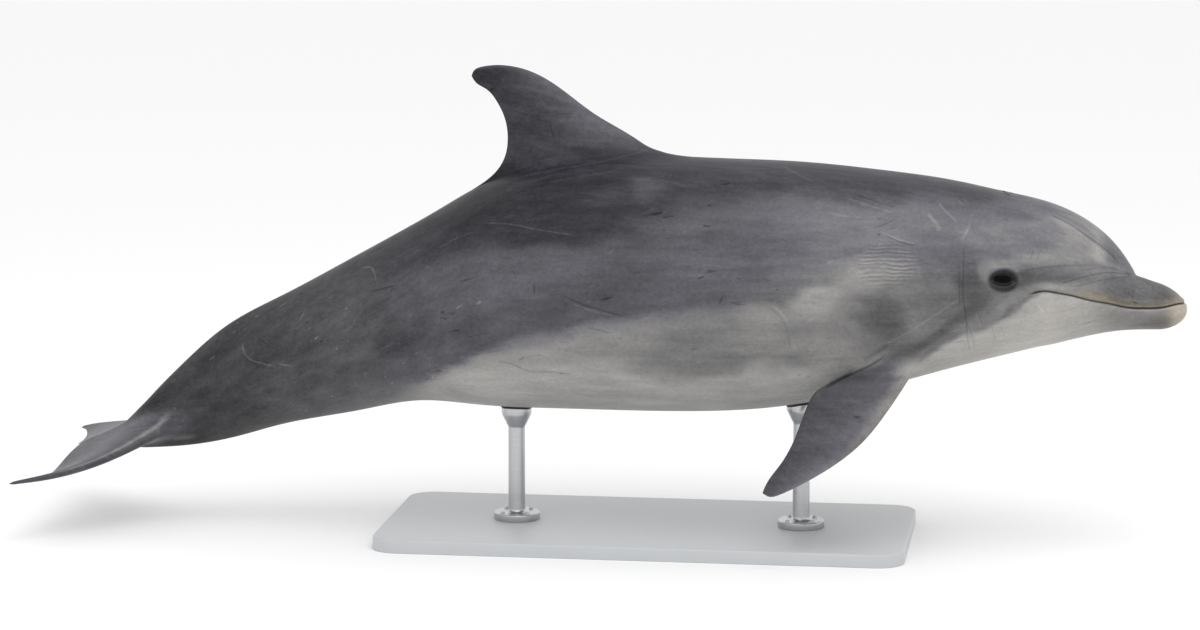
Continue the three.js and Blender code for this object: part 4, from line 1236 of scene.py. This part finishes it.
def warmthOf(coat, throat, lip, mouthShade, onFlipper, front, onFluke, light):
    marks = tintMarks
    tip = smoothStep(mouthLine(coat.x) + marks["tipAbove"] - coat.z, *marks["tipSoft"])
    warm = marks["tipWarm"] * smoothStep(coat.x, *marks["tip"]) * tip
    warm += marks["lipWarm"] * lip * smoothStep(coat.x, *marks["lip"])
    warm += marks["throatWarm"] * smoothStep(throat, *marks["throat"])
    warm += marks["flipperWarm"] * onFlipper * front
    warm += marks["mouthWarm"] * mouthShade + marks["flukeWarm"] * onFluke * light
    return warm


def coolnessOf(coat, bend, onFins, onFluke):
    marks = tintMarks
    upper = smoothStep(coat.z - ramp(marks["middle"])(coat.x) + bend, *marks["coolSoft"])
    tail = smoothStep(coat.x, *marks["tailLess"])
    return np.maximum(np.maximum(upper, onFins) * (1 - marks["coolLess"] * tail), onFluke)


def paintSkin(piece, bodyTree):
    coat = Coat(piece, bodyTree)
    x, y, z = coat.x, coat.y, coat.z
    bend, throat = paintEdges(piece, coat)
    layPatches(coat)
    band = layMelon(coat)
    lip = layBeak(coat, band)
    mouthShade = layJaw(coat)
    layEyeSkin(coat)
    dorsalChord, flipperChord, flukeChord = finChord(x, y, z)
    onDorsal = layDorsal(coat, dorsalChord)
    onFlipper, front = layFlippers(coat, flipperChord)
    onFluke, light = layFlukes(coat, flukeChord)
    onFins = np.maximum(np.maximum(onDorsal, onFlipper), onFluke)
    folds = 1 - smoothStep(coat.oval(*tintMarks["neck"]), *tintMarks["neckSoft"])
    warm = warmthOf(coat, throat, lip, mouthShade, onFlipper, front, onFluke, light)
    storeField(piece, "patchTone", coat.tone)
    storeField(piece, "patchCover", coat.cover)
    storeField(piece, "warmth", warm)
    storeField(piece, "cool", coolnessOf(coat, bend, onFins, onFluke))
    storeField(piece, "rear", smoothStep(x, *tintMarks["rear"]) * (1 - onFins))
    storeField(piece, "neckFolds", folds)
    storeField(piece, "wet", hump(coat.oval(*tintMarks["wet"]), 0, 1))
    paintLines(piece, x, y, z)


# shader maths: a wrapped socket adds its Math nodes when it is used in a sum
class Wire:
    def __init__(self, socket):
        self.socket = socket

    def maths(self, operation, first, second):
        tree = self.socket.id_data
        step = tree.nodes.new("ShaderNodeMath")
        step.operation = operation
        for place, value in zip(step.inputs, (first, second)):
            plug(tree, value, place)
        return Wire(step.outputs[0])

    def __add__(self, other):
        return self.maths("ADD", self, other)

    def __radd__(self, other):
        return self.maths("ADD", other, self)

    def __sub__(self, other):
        return self.maths("SUBTRACT", self, other)

    def __rsub__(self, other):
        return self.maths("SUBTRACT", other, self)

    def __mul__(self, other):
        return self.maths("MULTIPLY", self, other)

    def __rmul__(self, other):
        return self.maths("MULTIPLY", other, self)

    def __truediv__(self, other):
        return self.maths("DIVIDE", self, other)

    def __rtruediv__(self, other):
        return self.maths("DIVIDE", other, self)

    def __pow__(self, other):
        return self.maths("POWER", self, other)

    def __rpow__(self, other):
        return self.maths("POWER", other, self)

    def __abs__(self):
        return self.maths("ABSOLUTE", self, 0)


def plug(tree, value, place):
    if isinstance(value, Wire):
        tree.links.new(value.socket, place)
    else:
        place.default_value = value


class Finish:
    def __init__(self, name):
        self.material = bpy.data.materials.new(name)
        self.material.use_nodes = True
        self.tree = self.material.node_tree
        self.shader = self.tree.nodes["Principled BSDF"]

    def node(self, kind, settings=None, inputs=None, output=0):
        made = self.tree.nodes.new(kind)
        for key, value in (settings or {}).items():
            setattr(made, key, value)
        for key, value in (inputs or {}).items():
            plug(self.tree, value, made.inputs[key])
        return Wire(made.outputs[output])

    def field(self, name):
        return self.node("ShaderNodeAttribute", {"attribute_name": name}, output="Fac")

    def place(self, scale=(1, 1, 1), tilt=0.0):
        here = self.node("ShaderNodeTexCoord", output="Object")
        turn = (0, math.radians(tilt), 0)
        turned = self.node("ShaderNodeMapping", inputs={"Vector": here, "Rotation": turn})
        return self.node("ShaderNodeMapping", inputs={"Vector": turned, "Scale": scale})

    def noise(self, scale, detail=4, stretch=(1, 1, 1), rough=0.5, tilt=0.0):
        return self.node("ShaderNodeTexNoise", inputs={
            "Vector": self.place(stretch, tilt), "Scale": scale, "Detail": detail, "Roughness": rough}) - 0.5

    def smooth(self, value, low, high, start=0.0, end=1.0):
        return self.node("ShaderNodeMapRange", {"interpolation_type": "SMOOTHSTEP"}, {
            "Value": value, "From Min": low, "From Max": high, "To Min": start, "To Max": end})

    def mix(self, share, first, second):
        return self.node("ShaderNodeMix", {"data_type": "RGBA"}, {0: share, 6: first, 7: second}, 2)

    def scaled(self, colour, amount):
        return self.node("ShaderNodeVectorMath", {"operation": "SCALE"}, {0: colour, "Scale": amount})

    def bump(self, height, distance, strength=1.0):
        return self.node("ShaderNodeBump", inputs={
            "Height": height, "Distance": distance, "Strength": strength})

    def feed(self, **values):
        for key, value in values.items():
            plug(self.tree, value, self.shader.inputs[key.replace("_", " ")])
        return self.material


# patterns in the skin: scale, detail, stretch, roughness and tilt of the noise
skinPatterns = {
    "cloud": (3.4, 3),
    "blotch": (15, 5, (0.55, 1, 1), 0.6),
    "streak": (46, 5, (0.14, 1, 1), 0.62),
    "fineStreak": (150, 3, (0.1, 1, 1), 0.6),
    "rearStreak": (46, 5, (0.2, 1, 1), 0.62, 27),
    "rearFineStreak": (150, 3, (0.14, 1, 1), 0.6, 24),
    "smear": (11, 4, (0.4, 1, 1), 0.6, 34),
    "wrinkle": (70, 4, (0.10, 1, 1), 0.6, -14),
    "paleFleck": (85, 3, (0.3, 1, 1), 0.55, 38),
    "darkFleck": (70, 3, (0.25, 1, 1), 0.55, 12),
    "speck": (120, 3, (0.8, 1, 1), 0.7),
    "grain": (420, 2, (0.6, 1, 1), 0.6),
}
skinLook = {
    # how many tone steps each pattern adds
    "cloud": 30.0, "blotch": 38.0, "streak": 42.0, "wrinkle": 32.0, "speck": 30.0, "grain": 24.0,
    "smear": 62.0, "fleck": 34.0, "fold": 16.0,
    "paleFleckAt": (0.20, 0.28), "darkFleckAt": (0.19, 0.28),  # the noise levels that make a fleck
    "lineSoft": 1.7, "lineRelief": 0.016,
    "foldSpacing": 0.0084,    # from one neck fold to the next, in metres
    "edgeWander": 90.0,       # how far the noise moves the edges of the markings, in millimetres
    "throatWander": 14.0,
    "capeSoft": 34.0, "stepSoft": 26.0, "bellySoft": 24.0, "throatSoft": 9.0,
    "darkest": 8.0, "deepTones": (48, 80), "paleTones": (95, 150),
    "coolTint": (0.97, 0.945, 1.09, 1), "plainTint": (0.995, 0.975, 1.0, 1),
    "paleTint": (1.02, 1.0, 0.965, 1), "warmTint": (1.14, 1.0, 0.80, 1), "deepTint": (0.945, 0.91, 1.18, 1),
    "roughness": 0.46, "specular": 0.22, "gain": 0.86, "reliefDepth": 0.0016, "reliefStrength": 0.7,
}


def skinFinish():
    look = skinLook
    skinPaint = Finish("skin")
    noise, field, smooth = skinPaint.noise, skinPaint.field, skinPaint.smooth
    pattern = {name: noise(*values) for name, values in skinPatterns.items()}
    cloud, blotch, speck, grain = (pattern[name] for name in ("cloud", "blotch", "speck", "grain"))
    smear, wrinkle = pattern["smear"], pattern["wrinkle"]
    rear = field("rear")
    streak = pattern["streak"] + (pattern["rearStreak"] - pattern["streak"]) * rear
    fineStreak = pattern["fineStreak"] + (pattern["rearFineStreak"] - pattern["fineStreak"]) * rear
    paleFleck = smooth(pattern["paleFleck"] + blotch * 0.5, *look["paleFleckAt"])
    darkFleck = smooth(pattern["darkFleck"] + blotch * 0.4, *look["darkFleckAt"])

    # the tones on each side of the markings' edges
    wander = (blotch * 1.1 + streak * 0.5 + smear * 0.7 + cloud * 0.6) * look["edgeWander"]
    aboveCape = smooth(field("cape") + wander, -look["capeSoft"], look["capeSoft"])
    aboveStep = smooth(field("step") + wander, -look["stepSoft"], look["stepSoft"])
    aboveBelly = smooth(field("belly") + wander, -look["bellySoft"], look["bellySoft"])
    throatWander = (streak + blotch) * look["throatWander"]
    inThroat = smooth(field("throat") + throatWander, -look["throatSoft"], look["throatSoft"])
    flank, lower, belly = field("flankTone"), field("lowerTone"), field("bellyTone")
    level = flank + (field("backTone") - flank) * aboveCape
    level = lower + (level - lower) * aboveStep
    level = belly + (level - belly) * aboveBelly
    level = level + (field("throatTone") - level) * inThroat
    level = level * (1 - field("patchCover")) + field("patchTone")

    # patterns over all of them
    level = level + cloud * look["cloud"] + blotch * look["blotch"] + streak * look["streak"]
    level = level + speck * look["speck"] + grain * look["grain"]
    level = level + smear * (rear + 0.25) * look["smear"]
    level = level + (paleFleck * (rear + 0.3) - darkFleck * 0.8) * look["fleck"]
    level = level + wrinkle * smooth(field("cape") + cloud * 300, -60, 40) * look["wrinkle"]

    # lines and folds: darker lines are dark nicks, and in folds and creases painted shade; the neck folds get
    # painted shade in their grooves and painted highlights on their ridges, besides their bumps
    relief = 0.0
    for layer in range(lineShape["layers"]):
        offset, step = abs(field(f"lineOffset{layer}")), field(f"lineTone{layer}")
        mark = smooth(offset, 0.0, look["lineSoft"], 1.0, 0.0) * step
        level = level + mark * (0.8 + speck * 1.2)
        relief = mark * look["lineRelief"] + relief
    height = skinPaint.node("ShaderNodeSeparateXYZ", inputs={0: skinPaint.place()}, output=2)
    waveTurn = (height + blotch * 0.024 + streak * 0.006) * (2 * math.pi / look["foldSpacing"])
    wave = skinPaint.node("ShaderNodeMath", {"operation": "SINE"}, {0: waveTurn})
    foldShare = field("neckFolds") * smooth(blotch + streak * 0.5, -0.25, 0.12)
    # painted shade in the grooves and painted highlights on the ridges of the neck folds
    level = level + wave * foldShare * look["fold"]
    relief = relief + wave * foldShare * 0.8
    level = skinPaint.node("ShaderNodeMath", {"operation": "MAXIMUM"}, {0: level, 1: look["darkest"]})

    bright = (level / 255) ** 2.2 * look["gain"]
    tint = skinPaint.mix(field("cool"), look["plainTint"], look["coolTint"])
    tint = skinPaint.mix(smooth(level, *look["deepTones"], 1.0, 0.0) * field("cool"), tint, look["deepTint"])
    tint = skinPaint.mix(smooth(level, *look["paleTones"]), tint, look["paleTint"])
    tint = skinPaint.mix(field("warmth"), tint, look["warmTint"])
    colour = skinPaint.scaled(tint, bright)
    rough = look["roughness"] + blotch * 0.45 + streak * 0.4 + speck * 0.25 - field("wet") * 0.2
    relief = relief + streak * 0.6 + fineStreak * 0.35 + wrinkle * 0.4 + grain * 0.16 + speck * 0.12
    return skinPaint.feed(Base_Color=colour, Roughness=rough, Specular_IOR_Level=look["specular"],
                          Normal=skinPaint.bump(relief, look["reliefDepth"], look["reliefStrength"]))


paintSkin(skin, bodyTree)
skin.data.materials.clear()
skin.data.materials.append(skinFinish())
print("skin painted")


# eyeballs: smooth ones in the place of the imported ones
eyeLook = {
    "pupil": (0.0012, 0.0012, 0.0018, 1), "iris": (0.0026, 0.0024, 0.0028, 1),
    "white": (0.022, 0.022, 0.024, 1),
    "reach": (0.024, 0.0185),   # half sizes at which the coloured share is 1, in metres
    "pupilEdge": (0.26, 0.40), "ringEdge": (0.50, 0.60), "whiteEdge": (0.66, 0.86), "behind": 2.0,
    "roughness": 0.08, "whiteRough": 0.1, "specular": 0.05,
}


def eyeFinish():
    look = eyeLook
    wetEye = Finish("eyeGloss")
    share = wetEye.field("irisShare")
    veins = wetEye.noise(700, 3)
    iris = wetEye.smooth(share + veins * 0.10, *look["pupilEdge"])
    ring = wetEye.smooth(share, *look["ringEdge"])
    white = wetEye.smooth(share + veins * 0.12, *look["whiteEdge"])
    colour = wetEye.mix(iris, look["pupil"], look["iris"])
    colour = wetEye.mix(ring, colour, look["pupil"])
    colour = wetEye.mix(white, colour, look["white"])
    return wetEye.feed(Base_Color=colour, Roughness=look["roughness"] + white * look["whiteRough"],
                       Specular_IOR_Level=look["specular"])


def irisShare(point):
    reachX, reachY = eyeLook["reach"]
    return math.hypot(point.x / reachX, point.y / reachY) if point.z > 0 else eyeLook["behind"]


def addEyeball(name, side, finish):
    here, forward, up, out = eyeFrames[side]
    bm = bmesh.new()
    bmesh.ops.create_uvsphere(bm, u_segments=64, v_segments=40, radius=millimetre)
    bmesh.ops.scale(bm, vec=(eye["length"], eye["height"], eye["depth"]), verts=bm.verts)
    shares = [irisShare(vert.co) for vert in bm.verts]
    turned = Matrix((forward, up, out)).transposed().to_4x4()
    turned.translation = here - out * (eye["sunk"] * millimetre)
    bmesh.ops.transform(bm, matrix=turned, verts=bm.verts)
    bmesh.ops.recalc_face_normals(bm, faces=bm.faces)
    ball = objectFrom(name, bm)
    storeField(ball, "irisShare", shares)
    ball.data.materials.append(finish)
    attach(ball, "root")
    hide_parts(f"eye_{'left' if side > 0 else 'right'}")


eyeGloss = eyeFinish()
addEyeball("eyeball_left", 1, eyeGloss)
addEyeball("eyeball_right", -1, eyeGloss)
print("eyes set")


# display stand: a bevelled plate, and two turned posts with a screwed foot and a cup with a rubber pad
stand = {
    "corner": 0.060, "edge": 0.004, "underEdge": 0.4, "around": 96, "sharp": 0.6,
    "footRadius": 0.052, "footHeight": 0.016, "footRim": 0.001, "footEdge": 0.003,
    "rodRadius": 0.019, "rodRoot": 0.008, "rodRings": 12,
    "cupRadius": 0.034, "cupHeight": 0.046, "cupFlare": 0.012, "cupEdge": 0.0015, "cupHollow": 0.6,
    "cupBand": (0.016, 0.012, 0.002),  # below the top: where the cup is nearly wide, wide, and ends
    "cupFollows": (0.014, 0.008),      # below the top: where the rim starts to follow the belly
    "padThick": 0.004, "padSunk": 0.0002,
    "paint": (0.50, 0.515, 0.53), "steel": (0.50, 0.51, 0.52), "rubber": (0.020, 0.020, 0.022),
}
screw = {
    "radius": 0.0048, "height": 0.0036, "edge": 0.0010, "socketRim": 0.0016, "socketDepth": 0.0018,
    "around": 28, "circle": 0.040, "count": 4, "lift": 0.0016,
}


def bevelled(bm, edges, size, segments):
    bmesh.ops.bevel(bm, geom=edges, offset=size, offset_type="OFFSET", segments=segments, profile=0.5,
                    affect="EDGES", material=-1)


def arc(across, height, radius, start, end, steps=7):
    angles = [math.radians(lerp(start, end, k / steps)) for k in range(steps + 1)]
    return [(across + radius * math.cos(angle), height + radius * math.sin(angle)) for angle in angles]


def turnedShape(profile):
    bm = bmesh.new()
    verts = [bm.verts.new((radius, 0, height)) for radius, height in profile]
    edges = [bm.edges.new(pair) for pair in zip(verts, verts[1:])]
    bmesh.ops.spin(bm, geom=verts + edges, cent=(0, 0, 0), axis=(0, 0, 1), angle=2 * math.pi,
                   steps=stand["around"], use_merge=True)
    bmesh.ops.remove_doubles(bm, verts=bm.verts, dist=1e-6)
    bmesh.ops.recalc_face_normals(bm, faces=bm.faces)
    return bm


def standPiece(name, bm, finish, slot, *packed):
    for edge in bm.edges:
        edge.smooth = not edge.is_manifold or edge.calc_face_angle() < stand["sharp"]
    piece = objectFrom(name, bm)
    piece.data.materials.append(finish)
    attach(piece, "root")
    if packed:
        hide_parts(*packed)


def standPlate(finish):
    low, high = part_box("stand_base")
    bm = bmesh.new()
    bmesh.ops.create_cube(bm, size=1)
    bmesh.ops.scale(bm, vec=high - low, verts=bm.verts)
    bmesh.ops.translate(bm, vec=(low + high) / 2, verts=bm.verts)
    upright = [edge for edge in bm.edges if abs(edge.verts[0].co.z - edge.verts[1].co.z) > 0.01]
    bevelled(bm, upright, stand["corner"], 16)
    for height, size in ((high.z, stand["edge"]), (low.z, stand["edge"] * stand["underEdge"])):
        rim = [edge for edge in bm.edges if all(abs(vert.co.z - height) < 1e-6 for vert in edge.verts)]
        bevelled(bm, rim, size, 4)
    standPiece("stand_plate", bm, finish, "stand_paint", "stand_base")


def beneathSkin(x, y):
    return bodyTree.ray_cast(Vector((x, y, 0.05)), Vector((0, 0, 1)))[0].z


def socketScrew():  # the round head of a socket screw, its middle at the origin
    bm = bmesh.new()
    bmesh.ops.create_cone(bm, cap_ends=True, segments=screw["around"], radius1=screw["radius"],
                          radius2=screw["radius"], depth=screw["height"])
    top = [edge for edge in bm.edges if all(vert.co.z > 0.001 for vert in edge.verts)]
    bevelled(bm, top, screw["edge"], 3)
    cap = [face for face in bm.faces if len(face.verts) > 20 and face.normal.z > 0.9]
    bmesh.ops.inset_region(bm, faces=cap, thickness=screw["socketRim"])
    socket = bmesh.ops.extrude_face_region(bm, geom=cap)["geom"]
    bmesh.ops.delete(bm, geom=cap, context="FACES_ONLY")
    sunk = [item for item in socket if isinstance(item, bmesh.types.BMVert)]
    bmesh.ops.translate(bm, vec=(0, 0, -screw["socketDepth"]), verts=sunk)
    mesh = bpy.data.meshes.new("screw")
    bm.to_mesh(mesh)
    bm.free()
    return mesh


def addScrews(bm, footTop):
    mesh = socketScrew()
    for k in range(screw["count"]):
        angle = math.radians(45 + 360 * k / screw["count"])
        known = set(bm.verts)
        bm.from_mesh(mesh)
        fresh = [vert for vert in bm.verts if vert not in known]
        across = Vector((math.cos(angle), math.sin(angle), 0)) * screw["circle"]
        place = across + Vector((0, 0, footTop + screw["lift"]))
        bmesh.ops.translate(bm, vec=place, verts=fresh)
    bpy.data.meshes.remove(mesh)


def postProfile(floor, top):
    foot, rod, cup = stand["footRadius"], stand["rodRadius"], stand["cupRadius"]
    rim, edge, root = stand["footRim"], stand["footEdge"], stand["rodRoot"]
    flare, lip, rings = stand["cupFlare"], stand["cupEdge"], stand["rodRings"]
    shoulder, waist = floor + stand["footHeight"], top - stand["cupHeight"]
    nearlyWide, wide, bandEnd = stand["cupBand"]
    profile = [(0, floor), *arc(foot - rim, floor + rim, rim, -90, 0, 3)]
    profile += [*arc(foot - edge, shoulder - edge, edge, 0, 90), (rod + root + rim, shoulder)]
    profile += arc(rod + root, shoulder + root, root, 270, 180, 9)
    profile += [(rod, lerp(shoulder, waist, k / rings)) for k in range(2, rings)]
    profile += [(rod, waist), *arc(rod + flare, waist, flare, 180, 140, 6)]
    profile += [(cup - lip, top - nearlyWide), (cup, top - wide), (cup, top - bandEnd)]
    profile += [*arc(cup - lip, top - lip, lip, 0, 90, 4), (cup * stand["cupHollow"], top), (0, top)]
    return profile


def padProfile():
    cup, thick, flat = stand["cupRadius"], stand["padThick"], stand["cupRadius"] * stand["cupHollow"]
    edge = arc(cup - 0.0005, thick * 0.4, thick * 0.4, -90, 30, 6)
    return [(0, 0), (flat, 0), *edge, (cup * 0.9, thick), (flat, thick), (0, thick)]


def standPost(where, steel, rubber):
    low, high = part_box(f"stand_rod_{where}")
    middle = (low + high) / 2
    belly = beneathSkin(middle.x, middle.y)
    top = belly - stand["padThick"]
    post = turnedShape(postProfile(low.z, top))
    start, full = stand["cupFollows"]
    for vert in post.verts:  # the cup's rim follows the curve of the belly
        share = float(smoothStep(vert.co.z, top - start, top - full))
        rise = beneathSkin(middle.x + vert.co.x, middle.y + vert.co.y) - belly
        vert.co.z += share * rise
    addScrews(post, low.z + stand["footHeight"])
    bmesh.ops.translate(post, vec=(middle.x, middle.y, 0), verts=post.verts)
    standPiece(f"stand_post_{where}", post, steel, "stand_steel", f"stand_rod_{where}")

    pad = turnedShape(padProfile())
    for vert in pad.verts:
        above = beneathSkin(middle.x + vert.co.x, middle.y + vert.co.y)
        vert.co.z += above - stand["padThick"] + stand["padSunk"]
    bmesh.ops.translate(pad, vec=(middle.x, middle.y, 0), verts=pad.verts)
    standPiece(f"stand_pad_{where}", pad, rubber, "skin_dark")


def paintFinish():
    paint = Finish("standPaint")
    cloud, speck, scuff = paint.noise(7, 4), paint.noise(900, 2), paint.noise(60, 5, (0.2, 1, 1), 0.7)
    tone = 1 + cloud * 0.07 + speck * 0.05 - paint.smooth(scuff, 0.16, 0.30) * 0.10
    rough = 0.42 + cloud * 0.10 + paint.smooth(scuff, 0.12, 0.28) * 0.14
    colour = paint.scaled(stand["paint"], tone)
    relief = paint.bump(speck + cloud * 0.4, 0.0003, 0.5)
    return paint.feed(Base_Color=colour, Roughness=rough, Normal=relief)


def steelFinish():
    steel = Finish("standSteel")
    turning, fine = steel.noise(30, 4, (0.3, 0.3, 16), 0.6), steel.noise(120, 3, (0.2, 0.2, 14), 0.6)
    smear = steel.noise(9, 3)
    colour = steel.scaled(stand["steel"], 1 + turning * 0.22 + fine * 0.14 + smear * 0.10)
    rough = 0.30 + turning * 0.14 + smear * 0.16
    relief = steel.bump(turning + fine * 0.6, 0.0002, 0.5)
    return steel.feed(Base_Color=colour, Roughness=rough, Metallic=1.0, Normal=relief)


def rubberFinish():
    rubber = Finish("standRubber")
    cloud, grain = rubber.noise(30, 4), rubber.noise(1400, 2)
    colour = rubber.scaled(stand["rubber"], 1 + cloud * 0.7 + grain * 0.3)
    relief = rubber.bump(grain, 0.0003, 0.5)
    return rubber.feed(Base_Color=colour, Roughness=0.72 + cloud * 0.2, Normal=relief)


standPaint, standSteel, standRubber = paintFinish(), steelFinish(), rubberFinish()
standPlate(standPaint)
standPost("front", standSteel, standRubber)
standPost("rear", standSteel, standRubber)
print("stand made")


# floor, light and camera
studio = {
    "floorSize": 80.0, "floorTone": (0.93, 0.93, 0.93, 1), "floorRough": 0.9,
    "worldTone": (1.0, 1.0, 1.0, 1), "worldStrength": 1.0,
    "lampPlace": (1.0, -2.0, 5.0), "lampSize": 4.0, "lampPower": 90, "lampAim": (0, 0, 0.5),
    "azimuth": 8.0, "elevation": 9.0, "distance": 8.5, "target": (-0.007, 0.0, 0.5),
    "sensor": 36, "lens": 113.84, "clipEnd": 200,
}


def addFloor():
    bm = bmesh.new()
    bmesh.ops.create_grid(bm, x_segments=1, y_segments=1, size=studio["floorSize"] / 2)
    floor = objectFrom("floor", bm)
    finish = Finish("floorPaint")
    floor.data.materials.append(finish.feed(Base_Color=studio["floorTone"], Roughness=studio["floorRough"]))


def addLamp():
    lamp = bpy.data.lights.new("overhead", "AREA")
    lamp.size, lamp.energy = studio["lampSize"], studio["lampPower"]
    holder = bpy.data.objects.new("overhead", lamp)
    holder.location = studio["lampPlace"]
    aim = Vector(studio["lampAim"]) - Vector(studio["lampPlace"])
    holder.rotation_euler = aim.to_track_quat("-Z", "Y").to_euler()
    scene.collection.objects.link(holder)


def addCamera():
    turn, rise = math.radians(studio["azimuth"]), math.radians(studio["elevation"])
    back = Vector((math.sin(turn) * math.cos(rise), -math.cos(turn) * math.cos(rise), math.sin(rise)))
    lens = bpy.data.cameras.new("camera")
    lens.sensor_width, lens.lens = studio["sensor"], studio["lens"]
    lens.clip_end = studio["clipEnd"]
    holder = bpy.data.objects.new("camera", lens)
    holder.location = Vector(studio["target"]) + back * studio["distance"]
    holder.rotation_euler = (-back).to_track_quat("-Z", "Y").to_euler()
    scene.collection.objects.link(holder)
    scene.camera = holder


def addSky():
    world = bpy.data.worlds.new("studio")
    world.use_nodes = True
    background = world.node_tree.nodes["Background"]
    background.inputs["Color"].default_value = studio["worldTone"]
    background.inputs["Strength"].default_value = studio["worldStrength"]
    scene.world = world


addFloor()
addLamp()
addCamera()
addSky()
scene.view_settings.view_transform = "Standard"
print("floor, lamp and camera set")
